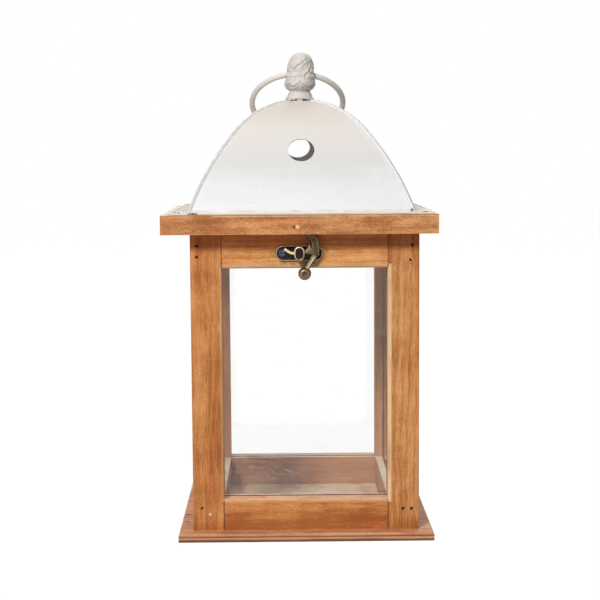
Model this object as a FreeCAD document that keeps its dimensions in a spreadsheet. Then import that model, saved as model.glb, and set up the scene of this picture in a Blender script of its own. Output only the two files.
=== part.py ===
import FreeCAD, Part
import Sketcher
import math
import os
import re

# Candle lantern: a glazed wooden case on a base board, a hinged wooden lid frame that
# carries a four-sided sheet roof with a cone finial and a carrying ring, and a horn
# latch at the front. Millimetres, +Z up, the front faces -Y, and the origin lies at
# the middle of the underside of the base board.

SIZES = [
    ("base_overhang", 10.0), ("base_thick", 6.0), ("base_round", 2.0),
    ("body_width", 159.0), ("body_height", 209.3),
    ("post_width", 21.8), ("post_depth", 17.0),
    ("bottom_rail", 22.0), ("top_rail", 24.3), ("arris", 1.6), ("corner_ease", 0.8),
    ("glass_thick", 2.0), ("glass_play", 0.2), ("groove_depth", 4.0), ("groove_end", 0.5),
    ("front_glass_inset", 12.4), ("side_glass_inset", 14.5),
    ("dowel_radius", 3.0), ("dowel_length", 18.0), ("dowel_inset", 6.0), ("dowel_drop", 3.0),
    ("lid_overhang", 15.5), ("lid_thick", 13.4), ("lid_shift", -3.6), ("lid_board", 36.0),
    ("roof_shift", -1.8), ("sheet_thick", 0.8), ("flange_margin", 4.0), ("flange_deep", 13.1),
    ("dome_height", 80.0), ("crown_radius", 58.0), ("crown_angle", 50.0),
    ("seam_height", 0.8), ("seam_width", 1.0), ("corner_notch", 3.0), ("crown_play", 0.2),
    ("vent_radius", 9.4), ("vent_height", 43.8), ("vent_back_rise", 2.1), ("vent_back_shift", -1.1),
    ("neck_radius", 8.3), ("neck_foot_radius", 11.7), ("neck_height", 8.6), ("foot_rim", 1.0),
    ("cone_radius", 11.4), ("cone_height", 28.2), ("finial_bolt_radius", 2.5), ("finial_bolt_bite", 12.0),
    ("bolt_head_radius", 4.5), ("bolt_head_thick", 3.0), ("washer_radius", 7.0), ("washer_thick", 1.2),
    ("ring_radius", 34.3), ("ring_wire_radius", 2.1), ("ring_lean_angle", 52.8), ("ring_rise", 11.7),
    ("ring_play", 0.08), ("ring_shift", -1.4),
    ("eye_shift", -3.8), ("eye_drop", 13.7), ("eye_wide", 7.0), ("eye_tall", 9.6),
    ("eye_wall", 1.1), ("eye_reach", 6.6), ("eye_play", 0.35),
    ("keeper_long", 32.6), ("keeper_tall", 10.8), ("keeper_thick", 1.5), ("keeper_rim", 1.1),
    ("keeper_tray", 0.7), ("keeper_screw_offset", 12.2),
    ("pivot_offset", -1.2), ("pivot_rise", 5.0), ("pivot_radius", 0.9), ("pivot_play", 0.05),
    ("pivot_head_radius", 1.3), ("pivot_head_thick", 0.5), ("pivot_bite", 7.6),
    ("horn_plane", 5.2), ("horn_thick", 3.4), ("horn_hub_radius", 3.4), ("horn_drop", 32.7),
    ("horn_play", 0.4), ("tine_radius", 1.2), ("tine_tip_angle", 27.5), ("tine_root_angle", 32.0),
    ("knob_radius", 4.5),
    ("hinge_inset", 19.7), ("hinge_wide", 26.0), ("leaf_long", 11.6), ("leaf_thick", 1.0),
    ("knuckle_radius", 2.0), ("knuckle_gap", 0.2), ("hinge_pin_radius", 0.8), ("hinge_play", 0.05),
    ("hinge_screw_offset", 8.0), ("hinge_screw_reach", 7.2),
    ("screw_radius", 1.3), ("screw_head_radius", 2.4), ("screw_head_tall", 1.3),
    ("screw_length", 10.0), ("slot_wide", 0.7), ("slot_deep", 0.6),
    ("base_screw_radius", 1.6), ("base_screw_head_radius", 3.4), ("base_screw_head_tall", 2.0),
    ("base_screw_length", 16.0), ("base_screw_inset", 8.5),
    ("nail_radius", 0.8), ("nail_head_radius", 1.5), ("nail_head_thick", 0.6), ("nail_length", 30.0),
    ("nail_side", 4.9), ("nail_top", 8.5), ("nail_gap", 7.9), ("nail_foot", 14.5), ("nail_pair", 6.0),
    ("roof_nail_radius", 0.9), ("roof_nail_head", 3.2), ("roof_nail_dome", 1.5),
    ("roof_nail_length", 9.0), ("roof_nail_inset", 6.0),
    ("overrun", 2.0),
]

# Centre line and half width of the horn between its pivot and its knob, as shares of
# the pivot-to-knob drop: to the right, down, half width.
HORN_SHARES = [
    (0.000, 0.000, 0.064), (0.165, 0.078, 0.066), (0.302, 0.192, 0.076), (0.360, 0.330, 0.078),
    (0.380, 0.480, 0.072), (0.370, 0.590, 0.064), (0.310, 0.690, 0.056), (0.225, 0.825, 0.053),
    (0.147, 0.960, 0.053),
]
# The most that the horn's depth is of its width.
ROUND_SHARE = 0.98
# How far the horn's shoulder reaches from the pivot, as a share of the same drop.
SHOULDER_SHARE = 0.77
# Profile of the cone of the finial, as shares of its height and of its radius.
CONE_SHARES = [
    (0.00, 0.66), (0.05, 0.86), (0.14, 0.98), (0.26, 1.00), (0.40, 0.94), (0.58, 0.88),
    (0.74, 0.75), (0.88, 0.50), (0.97, 0.22),
]
# How near two places count as the same, as a share of the overrun of the cuts.
MATCH_SHARE = 0.05
# Points along each arc of the roof section that carry the curve of a hip seam.
HIP_POINTS = 9
# Sections along the neck and handle of the horn.
HORN_SECTIONS = 21
# Knuckles of a hinge: the case leaf has the outer two, the lid leaf the middle one.
KNUCKLES = 3

doc = FreeCAD.newDocument("lantern")
sheet = doc.addObject("Spreadsheet::Sheet", "sizes")
for row, (alias, number) in enumerate(SIZES, start=1):
    sheet.set(f"A{row}", alias)
    sheet.set(f"B{row}", str(number))
    sheet.setAlias(f"B{row}", alias)
doc.recompute()

X_AXIS = FreeCAD.Vector(1, 0, 0)
Y_AXIS = FreeCAD.Vector(0, 1, 0)
Z_AXIS = FreeCAD.Vector(0, 0, 1)
nodes = []


def size(alias):
    """The number behind a name in the sheet."""
    return float(getattr(sheet, alias))


def formula(text):
    """An expression in which every name stands for a cell of the sheet."""
    return re.sub(r"[a-z][a-z_]*[a-z]", r"sizes.\g<0>", text)


def keep(thing, label):
    """Marks an object of the document as a sub-part that is written out."""
    thing.Label = label
    nodes.append(thing)
    return thing


def block(name, low, high):
    """A box between two corners, each of three formulas."""
    box = doc.addObject("Part::Box", name)
    for axis, side, start, end in zip("xyz", ("Length", "Width", "Height"), low, high):
        box.setExpression(f"Placement.Base.{axis}", formula(start))
        box.setExpression(side, formula(f"({end}) - ({start})"))
    return box


def rod(name, radius, length, direction=Z_AXIS, at=("0", "0", "0")):
    """A cylinder from a point along a direction; radius, length and point are formulas."""
    part = doc.addObject("Part::Cylinder", name)
    part.Placement = FreeCAD.Placement(FreeCAD.Vector(), FreeCAD.Rotation(Z_AXIS, direction))
    part.setExpression("Radius", formula(radius))
    part.setExpression("Height", formula(length))
    for axis, place in zip("xyz", at):
        part.setExpression(f"Placement.Base.{axis}", formula(place))
    return part


def fused(name, parts):
    joined = doc.addObject("Part::MultiFuse", name)
    joined.Shapes = parts
    return joined


def cut(name, base, tool):
    carved = doc.addObject("Part::Cut", name)
    carved.Base = base
    carved.Tool = tool
    return carved


def common(name, base, tool):
    shared = doc.addObject("Part::Common", name)
    shared.Base = base
    shared.Tool = tool
    return shared


def rounded(name, base, radius, wanted):
    """Rounds the edges whose two ends both pass the test."""
    doc.recompute()
    soft = doc.addObject("Part::Fillet", name)
    soft.Base = base
    picked = []
    for number, edge in enumerate(base.Shape.Edges, start=1):
        if all(wanted(corner.Point) for corner in edge.Vertexes):
            picked.append((number, radius, radius))
    soft.Edges = picked
    return soft


def solid(name, shape):
    """A piece whose form neither sketches nor primitives suit."""
    part = doc.addObject("Part::Feature", name)
    part.Shape = shape
    return part


def copies(name, master, places):
    """Identical separate solids, one at each placement."""
    doc.recompute()
    shapes = []
    for place in places:
        piece = master.Shape.copy()
        piece.Placement = place.multiply(master.Shape.Placement)
        shapes.append(piece)
    return solid(name, Part.makeCompound(shapes))


def heading(direction, at):
    """A placement that turns +Z to a direction and moves to a point."""
    return FreeCAD.Placement(FreeCAD.Vector(*at), FreeCAD.Rotation(Z_AXIS, FreeCAD.Vector(*direction)))


def near(first, second):
    """True for two places that only rounding keeps apart."""
    return abs(first - second) < size("overrun") * MATCH_SHARE


# Levels and half widths that several pieces share.
BODY_HALF = "body_width / 2"
INNER_X = "(body_width / 2 - post_width)"
INNER_Y = "(body_width / 2 - post_depth)"
BODY_TOP = "(base_thick + body_height)"
WINDOW_LOW = "(base_thick + bottom_rail)"
WINDOW_HIGH = "(base_thick + body_height - top_rail)"
LID_TOP = "(base_thick + body_height + lid_thick)"
LID_HALF = "(body_width / 2 + lid_overhang)"
body_half = size("body_width") / 2
inner_x = body_half - size("post_width")
inner_y = body_half - size("post_depth")
body_top = size("base_thick") + size("body_height")
window_low = size("base_thick") + size("bottom_rail")
window_high = body_top - size("top_rail")
lid_top = body_top + size("lid_thick")
base_half = body_half + size("base_overhang")
lid_half = body_half + size("lid_overhang")
flange_half = lid_half - size("flange_margin")
dome_half = flange_half - size("flange_deep")
SIDES = (("left", -1), ("right", 1))
ENDS = (("front", -1), ("back", 1))
FACES = ("front", "back", "left", "right")


def fastener_masters():
    """Nail, small screw, base screw and roof nail at the origin, pointing along +Z."""
    shank = rod("nail_shank", "nail_radius", "nail_length")
    head = rod("nail_head", "nail_head_radius", "nail_head_thick")
    masters = {"nail": fused("nail", [shank, head])}
    for kind, prefix in (("screw", "screw"), ("base_screw", "base_screw")):
        shank = rod(f"{kind}_shank", f"{prefix}_radius", f"{prefix}_length")
        head = doc.addObject("Part::Cone", f"{kind}_head")
        head.setExpression("Radius1", formula(f"{prefix}_head_radius"))
        head.setExpression("Radius2", formula(f"{prefix}_radius"))
        head.setExpression("Height", formula(f"{prefix}_head_tall"))
        masters[f"{kind}_hole"] = fused(f"{kind}_hole", [shank, head])
        reach = f"{prefix}_head_radius + overrun"
        slot = block(f"{kind}_slot", (f"-({reach})", "-slot_wide / 2", "-overrun"),
                     (reach, "slot_wide / 2", "slot_deep"))
        masters[kind] = cut(kind, masters[f"{kind}_hole"], slot)
    masters["roof_nail"] = roof_nail()
    return masters


def roof_nail():
    """A nail with a domed head that stands above the flange."""
    shank = rod("roof_nail_shank", "roof_nail_radius", "roof_nail_length")
    cap = doc.addObject("Part::Ellipsoid", "roof_nail_cap")
    cap.setExpression("Radius1", formula("roof_nail_dome"))
    cap.setExpression("Radius2", formula("roof_nail_head"))
    cap.setExpression("Radius3", formula("roof_nail_head"))
    above = block("roof_nail_above", ("-roof_nail_head - overrun",) * 2 + ("-roof_nail_dome - overrun",),
                  ("roof_nail_head + overrun",) * 2 + ("0",))
    head = common("roof_nail_head", cap, above)
    return fused("roof_nail", [shank, head])


def nail_places():
    """Two nails through each end of the front and back frames into the side rails."""
    places = []
    top = body_top - size("nail_top")
    foot = size("base_thick") + size("nail_foot")
    side = body_half - size("nail_side")
    for turn in (-1, 1):
        for hand in (-1, 1):
            spots = [(side, top), (side, top - size("nail_gap")), (side, foot),
                     (side - size("nail_pair"), foot)]
            for across, level in spots:
                places.append(heading((0, -turn, 0), (hand * across, turn * body_half, level)))
    return places


def dowel_places():
    """One dowel across each joint of the front and back rails with the posts."""
    places = []
    half = size("dowel_length") / 2
    levels = (size("base_thick") + size("bottom_rail") / 2 - size("dowel_drop"),
              window_high + size("top_rail") / 2)
    for turn in (-1, 1):
        for hand in (-1, 1):
            for level in levels:
                at = (hand * inner_x - half, turn * (body_half - size("dowel_inset")), level)
                places.append(heading((1, 0, 0), at))
    return places


def base_screw_places():
    inset = size("base_screw_inset")
    spot = body_half - inset
    return [heading((0, 0, 1), (x * spot, y * spot, 0)) for x in (-1, 1) for y in (-1, 1)]


def carcass_stock():
    """The whole case before it is divided: outer block, chamber, windows, eased edges."""
    outer = block("case_block", (f"-{BODY_HALF}",) * 2 + ("base_thick",), (BODY_HALF,) * 2 + (BODY_TOP,))
    chamber = block("chamber", (f"-{INNER_X}", f"-{INNER_Y}", "base_thick - overrun"),
                    (INNER_X, INNER_Y, f"{BODY_TOP} + overrun"))
    through_y = block("window_front", (f"-{INNER_X}", f"-{BODY_HALF} - overrun", WINDOW_LOW),
                      (INNER_X, f"{BODY_HALF} + overrun", WINDOW_HIGH))
    through_x = block("window_side", (f"-{BODY_HALF} - overrun", f"-{INNER_Y}", WINDOW_LOW),
                      (f"{BODY_HALF} + overrun", INNER_Y, WINDOW_HIGH))
    rough = cut("case_rough", outer, fused("case_hollow", [chamber, through_y, through_x]))

    def rim(point):
        level = near(point.z, window_low) or near(point.z, window_high)
        on_front = near(abs(point.y), body_half) and near(abs(point.x), inner_x)
        on_side = near(abs(point.x), body_half) and near(abs(point.y), inner_y)
        return level and (on_front or on_side)

    def corner(point):
        return near(abs(point.x), body_half) and near(abs(point.y), body_half)

    def upright(edge):
        low_end, high_end = edge.Vertexes[0].Point, edge.Vertexes[-1].Point
        return near(low_end.x, high_end.x) and near(low_end.y, high_end.y)

    eased = rounded("case_rims", rough, size("arris"), rim)
    doc.recompute()
    ease = size("corner_ease")
    finished = doc.addObject("Part::Fillet", "case_stock")
    finished.Base = eased
    finished.Edges = [(number, ease, ease) for number, edge in enumerate(eased.Shape.Edges, start=1)
                      if upright(edge) and all(corner(v.Point) for v in edge.Vertexes)]
    return finished


def pane_slab(name, side, play, end):
    """The slab of one pane, or of its groove, from its play and its end clearance."""
    low = "base_thick + bottom_rail - groove_depth"
    high = f"{WINDOW_HIGH} + groove_depth - {end}"
    thin = f"(glass_thick / 2 + {play})"
    if side in ("front", "back"):
        sign = "-" if side == "front" else ""
        plane = f"{sign}({BODY_HALF} - front_glass_inset)"
        wide = f"({INNER_X} + groove_depth - {end})"
        return block(name, (f"-{wide}", f"{plane} - {thin}", low), (wide, f"{plane} + {thin}", high))
    sign = "-" if side == "left" else ""
    plane = f"{sign}({BODY_HALF} - side_glass_inset)"
    wide = f"({INNER_Y} + groove_depth - {end})"
    return block(name, (f"{plane} - {thin}", f"-{wide}", low), (f"{plane} + {thin}", wide, high))


def carcass(masters):
    """Posts, rails, panes, dowels and nails of the case."""
    stock = carcass_stock()
    nails = keep(copies("frame_nails_shape", masters["nail"], nail_places()), "frame_nails")
    dowel = rod("dowel", "dowel_radius", "dowel_length")
    dowels = keep(copies("rail_dowels_shape", dowel, dowel_places()), "rail_dowels")
    foot_holes = copies("base_screw_holes", masters["base_screw_hole"], base_screw_places())
    keep(copies("base_screws_shape", masters["base_screw"], base_screw_places()), "base_screws")
    grooves = [pane_slab(f"groove_{side}", side, "glass_play", "0") for side in FACES]
    small_screws = keeper_screw_places() + rail_screw_places()
    rail_screws = copies("rail_screw_holes", masters["screw_hole"], small_screws)
    removed = fused("case_removed", grooves + [nails, dowels, foot_holes, rail_screws])
    for side, hand in SIDES:
        for end, turn in ENDS:
            low_x, high_x = (INNER_X, BODY_HALF) if hand > 0 else (f"-{BODY_HALF}", f"-{INNER_X}")
            low_y, high_y = (INNER_Y, BODY_HALF) if turn > 0 else (f"-{BODY_HALF}", f"-{INNER_Y}")
            region = block(f"post_region_{end}_{side}", (low_x, low_y, "base_thick"),
                           (high_x, high_y, BODY_TOP))
            post = common(f"post_stock_{end}_{side}", stock, region)
            keep(cut(f"post_shape_{end}_{side}", post, removed), f"post_{end}_{side}")
    levels = (("bottom", "base_thick", WINDOW_LOW), ("top", WINDOW_HIGH, BODY_TOP))
    for level, low, high in levels:
        for end, turn in ENDS:
            low_y, high_y = (INNER_Y, BODY_HALF) if turn > 0 else (f"-{BODY_HALF}", f"-{INNER_Y}")
            region = block(f"rail_region_{level}_{end}", (f"-{INNER_X}", low_y, low),
                           (INNER_X, high_y, high))
            rail = common(f"rail_stock_{level}_{end}", stock, region)
            keep(cut(f"rail_shape_{level}_{end}", rail, removed), f"{level}_rail_{end}")
        for side, hand in SIDES:
            low_x, high_x = (INNER_X, BODY_HALF) if hand > 0 else (f"-{BODY_HALF}", f"-{INNER_X}")
            region = block(f"rail_region_{level}_{side}", (low_x, f"-{INNER_Y}", low),
                           (high_x, INNER_Y, high))
            rail = common(f"rail_stock_{level}_{side}", stock, region)
            keep(cut(f"rail_shape_{level}_{side}", rail, removed), f"{level}_rail_{side}")
    for side in FACES:
        keep(pane_slab(f"pane_slab_{side}", side, "0", "groove_end"), f"glass_{side}")
    base_board(foot_holes)


def base_board(holes):
    """The base board: a square sketch padded, its upper edges rounded, drilled for screws."""
    body = doc.addObject("PartDesign::Body", "base_body")
    outline = body.newObject("Sketcher::SketchObject", "base_outline")
    plane = [f for f in body.Origin.OriginFeatures if f.Role == "XY_Plane"][0]
    outline.AttachmentSupport = [(plane, "")]
    outline.MapMode = "FlatFace"
    spots = [FreeCAD.Vector(x * base_half, y * base_half, 0) for x, y in ((-1, -1), (1, -1), (1, 1), (-1, 1))]
    for index, spot in enumerate(spots):
        outline.addGeometry(Part.LineSegment(spot, spots[(index + 1) % len(spots)]), False)
    for index in range(len(spots)):
        outline.addConstraint(Sketcher.Constraint("Coincident", index, 2, (index + 1) % len(spots), 1))
        direction = "Horizontal" if index % 2 == 0 else "Vertical"
        outline.addConstraint(Sketcher.Constraint(direction, index))
    outline.addConstraint(Sketcher.Constraint("Symmetric", 0, 1, 2, 1, -1, 1))
    for name, kind, index in (("wide", "DistanceX", 0), ("deep", "DistanceY", 1)):
        number = outline.addConstraint(Sketcher.Constraint(kind, index, 1, index, 2, 2 * base_half))
        outline.renameConstraint(number, name)
        outline.setExpression(f"Constraints.{name}", formula("body_width + 2 * base_overhang"))
    pad = body.newObject("PartDesign::Pad", "base_pad")
    pad.Profile = outline
    pad.setExpression("Length", formula("base_thick"))
    doc.recompute()
    edges = [f"Edge{number}" for number, edge in enumerate(pad.Shape.Edges, start=1)
             if all(near(v.Point.z, size("base_thick")) for v in edge.Vertexes)]
    soft = body.newObject("PartDesign::Fillet", "base_round_over")
    soft.Base = (pad, edges)
    soft.setExpression("Radius", formula("base_round"))
    doc.recompute()
    keep(cut("base_board_shape", body, holes), "base_board")


def lid(masters):
    """Four boards round the opening that lets the heat up into the roof."""
    low_x, high_x = f"(lid_shift - {LID_HALF})", f"(lid_shift + {LID_HALF})"
    half_y = LID_HALF
    edge_y = f"({LID_HALF} - lid_board)"
    leaf_holes = copies("lid_leaf_holes", masters["screw_hole"], lid_screw_places())
    roof_holes = copies("roof_nail_holes", masters["roof_nail"], roof_nail_places())
    keep(copies("roof_nails_shape", masters["roof_nail"], roof_nail_places()), "roof_nails")
    removed = fused("lid_removed", [leaf_holes, roof_holes, horn_pocket(), latch_pin()])
    boards = (
        ("lid_front", (low_x, f"-{half_y}", BODY_TOP), (high_x, f"-{edge_y}", LID_TOP)),
        ("lid_back", (low_x, edge_y, BODY_TOP), (high_x, half_y, LID_TOP)),
        ("lid_left", (low_x, f"-{edge_y}", BODY_TOP), (f"{low_x} + lid_board", edge_y, LID_TOP)),
        ("lid_right", (f"{high_x} - lid_board", f"-{edge_y}", BODY_TOP), (high_x, edge_y, LID_TOP)),
    )
    for label, low, high in boards:
        keep(cut(f"{label}_shape", block(f"{label}_board", low, high), removed), label)


def roof_nail_places():
    """One nail through each corner of the flange."""
    spot = flange_half - size("roof_nail_inset")
    level = lid_top + size("sheet_thick")
    return [heading((0, 0, -1), (size("roof_shift") + x * spot, y * spot, level))
            for x in (-1, 1) for y in (-1, 1)]


def dome_arcs(offset):
    """Radius, centre and end points of the two arcs of the roof profile, moved inwards.

    The crown arc is level at the top. The wall arc runs on from it without a kink
    and ends on the base of the dome."""
    turn = math.radians(size("crown_angle"))
    height, crown = size("dome_height"), size("crown_radius")
    joint = (crown * math.sin(turn), height - crown * (1 - math.cos(turn)))
    run, drop = dome_half - joint[0], joint[1] - size("sheet_thick")
    chord_angle = math.atan2(drop, run)
    half_turn = chord_angle - turn
    wall = math.hypot(run, drop) / (2 * math.sin(half_turn))
    centre = (joint[0] - wall * math.sin(turn), joint[1] - wall * math.cos(turn))
    foot_angle = turn + 2 * half_turn

    def on(radius, angle, middle):
        reach = radius - offset
        return FreeCAD.Vector(middle[0] + reach * math.sin(angle), 0, middle[1] + reach * math.cos(angle))

    top = (0, height - crown)
    crown_points = [on(crown, a, top) for a in (0, turn / 2, turn)]
    wall_points = [on(wall, a, centre) for a in (turn, turn + half_turn, foot_angle)]
    return crown_points, wall_points


def profile_face(inner_offset, outer_offset):
    """The sheet's section: crown, wall and the flange that is bent outwards."""
    outer_crown, outer_wall = dome_arcs(outer_offset)
    inner_crown, inner_wall = dome_arcs(inner_offset)
    top_edge = FreeCAD.Vector(flange_half, 0, size("sheet_thick"))
    low_edge = FreeCAD.Vector(flange_half, 0, 0)
    inner_foot = FreeCAD.Vector(inner_wall[2].x, 0, 0)
    pieces = [
        Part.Arc(*outer_crown).toShape(), Part.Arc(*outer_wall).toShape(),
        Part.makeLine(outer_wall[2], top_edge), Part.makeLine(top_edge, low_edge),
        Part.makeLine(low_edge, inner_foot), Part.makeLine(inner_foot, inner_wall[2]),
        Part.Arc(*reversed(inner_wall)).toShape(), Part.Arc(*reversed(inner_crown)).toShape(),
        Part.makeLine(inner_crown[0], outer_crown[0]),
    ]
    return Part.Face(Part.Wire(Part.sortEdges(pieces)[0]))


def dome_outline():
    """The whole outside of the roof section down to the lid, as one face."""
    crown, wall = dome_arcs(0)
    foot = FreeCAD.Vector(wall[2].x, 0, 0)
    base, top = FreeCAD.Vector(), crown[0]
    pieces = [Part.Arc(*crown).toShape(), Part.Arc(*wall).toShape(), Part.makeLine(wall[2], foot),
              Part.makeLine(foot, base), Part.makeLine(base, top)]
    return Part.Face(Part.Wire(Part.sortEdges(pieces)[0]))


def wedge(reach, tall):
    """The quarter of the plan that lies on the +X side of both diagonals."""
    corners = [FreeCAD.Vector(), FreeCAD.Vector(reach, -reach, 0), FreeCAD.Vector(reach, reach, 0)]
    base = Part.Face(Part.makePolygon(corners + corners[:1]))
    return base.extrude(FreeCAD.Vector(0, 0, tall))


def seam_rib(hand):
    """The upturned edge of the sheet that stands along one hip."""
    def on_hip(point):
        return FreeCAD.Vector(point.x, hand * point.x, point.z)

    def curve(points):
        spline = Part.BSplineCurve()
        spline.interpolate(points)
        return spline.toShape()

    def hip_points(offset):
        upper, lower = dome_arcs(offset)
        first = Part.Arc(*upper).toShape().discretize(HIP_POINTS)
        second = Part.Arc(*lower).toShape().discretize(HIP_POINTS)
        return [on_hip(p) for p in first + second[1:]]

    outer_points = hip_points(-size("seam_height"))
    inner_points = hip_points(size("sheet_thick") / 2)
    edges = [curve(outer_points), Part.makeLine(outer_points[-1], inner_points[-1]),
             curve(inner_points), Part.makeLine(inner_points[0], outer_points[0])]
    face = Part.Face(Part.Wire(Part.sortEdges(edges)[0]))
    across = FreeCAD.Vector(1, -hand, 0)
    across.normalize()
    return face.extrude(across * size("seam_width"))


def roof_panel(vent):
    """The +X quarter of the roof, about the origin, with its flange, ribs and vent."""
    reach = 2 * flange_half
    tall = size("dome_height") + size("seam_height") + size("overrun")
    face = profile_face(size("sheet_thick"), 0)
    face.translate(FreeCAD.Vector(0, -reach, 0))
    sheet_run = face.extrude(FreeCAD.Vector(0, 2 * reach, 0))
    panel = sheet_run.common(wedge(reach, tall))
    clear = Part.makeCylinder(size("neck_foot_radius") + size("crown_play"), tall)
    for hand in (-1, 1):
        panel = panel.fuse(seam_rib(hand).cut(clear))
    panel = panel.common(wedge(reach, tall))
    panel = panel.cut(vent)
    notch = size("corner_notch")
    for hand in (-1, 1):
        opening = Part.makeBox(notch, notch, notch, FreeCAD.Vector(-notch / 2, -notch / 2, 0))
        opening.rotate(FreeCAD.Vector(), Z_AXIS, math.degrees(math.pi / 4))
        opening.translate(FreeCAD.Vector(dome_half, hand * dome_half, -size("sheet_thick")))
        panel = panel.cut(opening)
    bore = Part.makeCylinder(size("finial_bolt_radius") + size("crown_play"), tall)
    return panel.cut(bore).removeSplitter()


def vent_drill(level, aside):
    """A drill square to the sheet at a height, and beside the middle of the panel."""
    _, wall = dome_arcs(0)
    circle = Part.Arc(*wall).toShape().Curve
    middle = circle.Center
    drop = level - middle.z
    across = math.sqrt(circle.Radius ** 2 - drop ** 2)
    point = FreeCAD.Vector(middle.x + across, aside, level)
    normal = FreeCAD.Vector(across, 0, drop)
    normal.normalize()
    length = size("vent_radius") * 2
    start = point - normal * (length / 2)
    return Part.makeCylinder(size("vent_radius"), length, start, normal)


def roof():
    """Four panels on the lid, turned copies of one but for the back one's vent."""
    level = size("vent_height")
    usual = roof_panel(vent_drill(level, 0))
    back = roof_panel(vent_drill(level + size("vent_back_rise"), -size("vent_back_shift")))
    holes = copies("roof_nail_bores", doc.getObject("roof_nail"), roof_nail_places())
    for label, angle in (("right", 0), ("back", 1), ("left", 2), ("front", 3)):
        piece = (back if label == "back" else usual).copy()
        piece.rotate(FreeCAD.Vector(), Z_AXIS, angle * math.degrees(math.pi / 2))
        piece.translate(FreeCAD.Vector(size("roof_shift"), 0, lid_top))
        keep(cut(f"roof_{label}_shape", solid(f"roof_{label}_sheet", piece), holes), f"roof_{label}")


def finial():
    """Cone, neck and flared foot, turned in one piece and bored for the ring and its bolt."""
    foot, neck = size("neck_foot_radius"), size("neck_radius")
    crown_inside = lid_top + size("dome_height") - size("sheet_thick")
    foot_level = crown_inside - foot ** 2 / (2 * size("crown_radius"))
    neck_top = crown_inside + size("neck_height")
    rim = size("foot_rim")
    points = [(0, foot_level), (foot, foot_level), (foot, foot_level + rim)]
    outline = [Part.makeLine(spot(points[0]), spot(points[1])),
               Part.makeLine(spot(points[1]), spot(points[2]))]
    middle = ((foot + neck - rim) / 2, (points[2][1] + neck_top - rim) / 2)
    outline.append(Part.Arc(spot(points[2]), spot(middle), spot((neck, neck_top))).toShape())
    cone = [spot((share * size("cone_radius"), neck_top + tall * size("cone_height")))
            for tall, share in CONE_SHARES]
    tip = spot((0, neck_top + size("cone_height")))
    outline.append(Part.makeLine(spot((neck, neck_top)), cone[0]))
    curve = Part.BSplineCurve()
    curve.interpolate(cone + [tip])
    outline.append(curve.toShape())
    outline.append(Part.makeLine(tip, spot(points[0])))
    face = Part.Face(Part.Wire(Part.sortEdges(outline)[0]))
    turned = face.revolve(FreeCAD.Vector(), Z_AXIS, math.degrees(2 * math.pi))
    under = dome_outline().extrude(FreeCAD.Vector(0, 2 * dome_half, 0))
    under.translate(FreeCAD.Vector(0, -dome_half, 0))
    crown = under.fuse(under.mirror(FreeCAD.Vector(), X_AXIS))
    other = crown.copy()
    other.rotate(FreeCAD.Vector(), Z_AXIS, math.degrees(math.pi / 2))
    crown = crown.common(other)
    crown.translate(FreeCAD.Vector(0, 0, lid_top))
    shape = turned.cut(crown).cut(ring_bore())
    bolt_top = lid_top + size("dome_height") + size("finial_bolt_bite")
    shape = shape.cut(Part.makeCylinder(size("finial_bolt_radius"), bolt_top))
    shape.translate(FreeCAD.Vector(size("roof_shift"), 0, 0))
    keep(solid("finial_shape", shape), "finial")


def spot(pair):
    """A point of a section in the plane through the Z axis."""
    return FreeCAD.Vector(pair[0], 0, pair[1])


def ring_level():
    return lid_top + size("dome_height") + size("ring_rise") + size("neck_height") - size("sheet_thick")


def ring_bore():
    """A bore along X that opens out from the ring's middle, so the curved wire can turn in it."""
    middle = size("ring_radius")
    arc_radius = middle - size("ring_wire_radius") - size("ring_play")
    reach = size("cone_radius") + size("overrun") + abs(size("ring_shift"))
    depth = middle - math.sqrt(arc_radius ** 2 - reach ** 2)
    throat = middle - arc_radius
    left, right = FreeCAD.Vector(-reach, 0, depth), FreeCAD.Vector(reach, 0, depth)
    edges = [Part.Arc(left, FreeCAD.Vector(0, 0, throat), right).toShape(),
             Part.makeLine(right, FreeCAD.Vector(reach, 0, 0)),
             Part.makeLine(FreeCAD.Vector(reach, 0, 0), FreeCAD.Vector(-reach, 0, 0)),
             Part.makeLine(FreeCAD.Vector(-reach, 0, 0), left)]
    face = Part.Face(Part.Wire(Part.sortEdges(edges)[0]))
    bore = face.revolve(FreeCAD.Vector(), X_AXIS, math.degrees(2 * math.pi))
    bore.translate(FreeCAD.Vector(size("ring_shift"), 0, ring_level()))
    return bore


def carry_ring():
    """The ring hangs from the bore, a little to one side, and leans back on the roof."""
    ring = doc.addObject("Part::Torus", "carry_ring_wire")
    ring.setExpression("Radius1", formula("ring_radius"))
    ring.setExpression("Radius2", formula("ring_wire_radius"))
    lean = math.radians(size("ring_lean_angle"))
    radius = size("ring_radius")
    middle = FreeCAD.Vector(size("roof_shift") + size("ring_shift"), radius * math.sin(lean),
                            ring_level() - radius * math.cos(lean))
    normal = FreeCAD.Vector(0, math.cos(lean), math.sin(lean))
    ring.Placement = FreeCAD.Placement(middle, FreeCAD.Rotation(Z_AXIS, normal))
    keep(ring, "carry_ring")


def finial_bolt():
    """The bolt that holds the finial from inside the crown, and its washer."""
    under = f"({LID_TOP} + dome_height - sheet_thick - washer_radius * washer_radius / (2 * crown_radius))"
    seat = f"({under} - washer_thick)"
    at = ("roof_shift", "0", seat)
    top = f"{LID_TOP} + dome_height + finial_bolt_bite"
    shank = rod("bolt_shank", "finial_bolt_radius", f"{top} - {seat}", Z_AXIS, at)
    head = rod("bolt_head", "bolt_head_radius", "bolt_head_thick", Z_AXIS * -1, at)
    keep(fused("finial_bolt_shape", [shank, head]), "finial_bolt")
    disc = rod("washer_disc", "washer_radius", "washer_thick", Z_AXIS, at)
    hole = rod("washer_hole", "finial_bolt_radius", "washer_thick", Z_AXIS, at)
    keep(cut("crown_washer_shape", disc, hole), "crown_washer")


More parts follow.
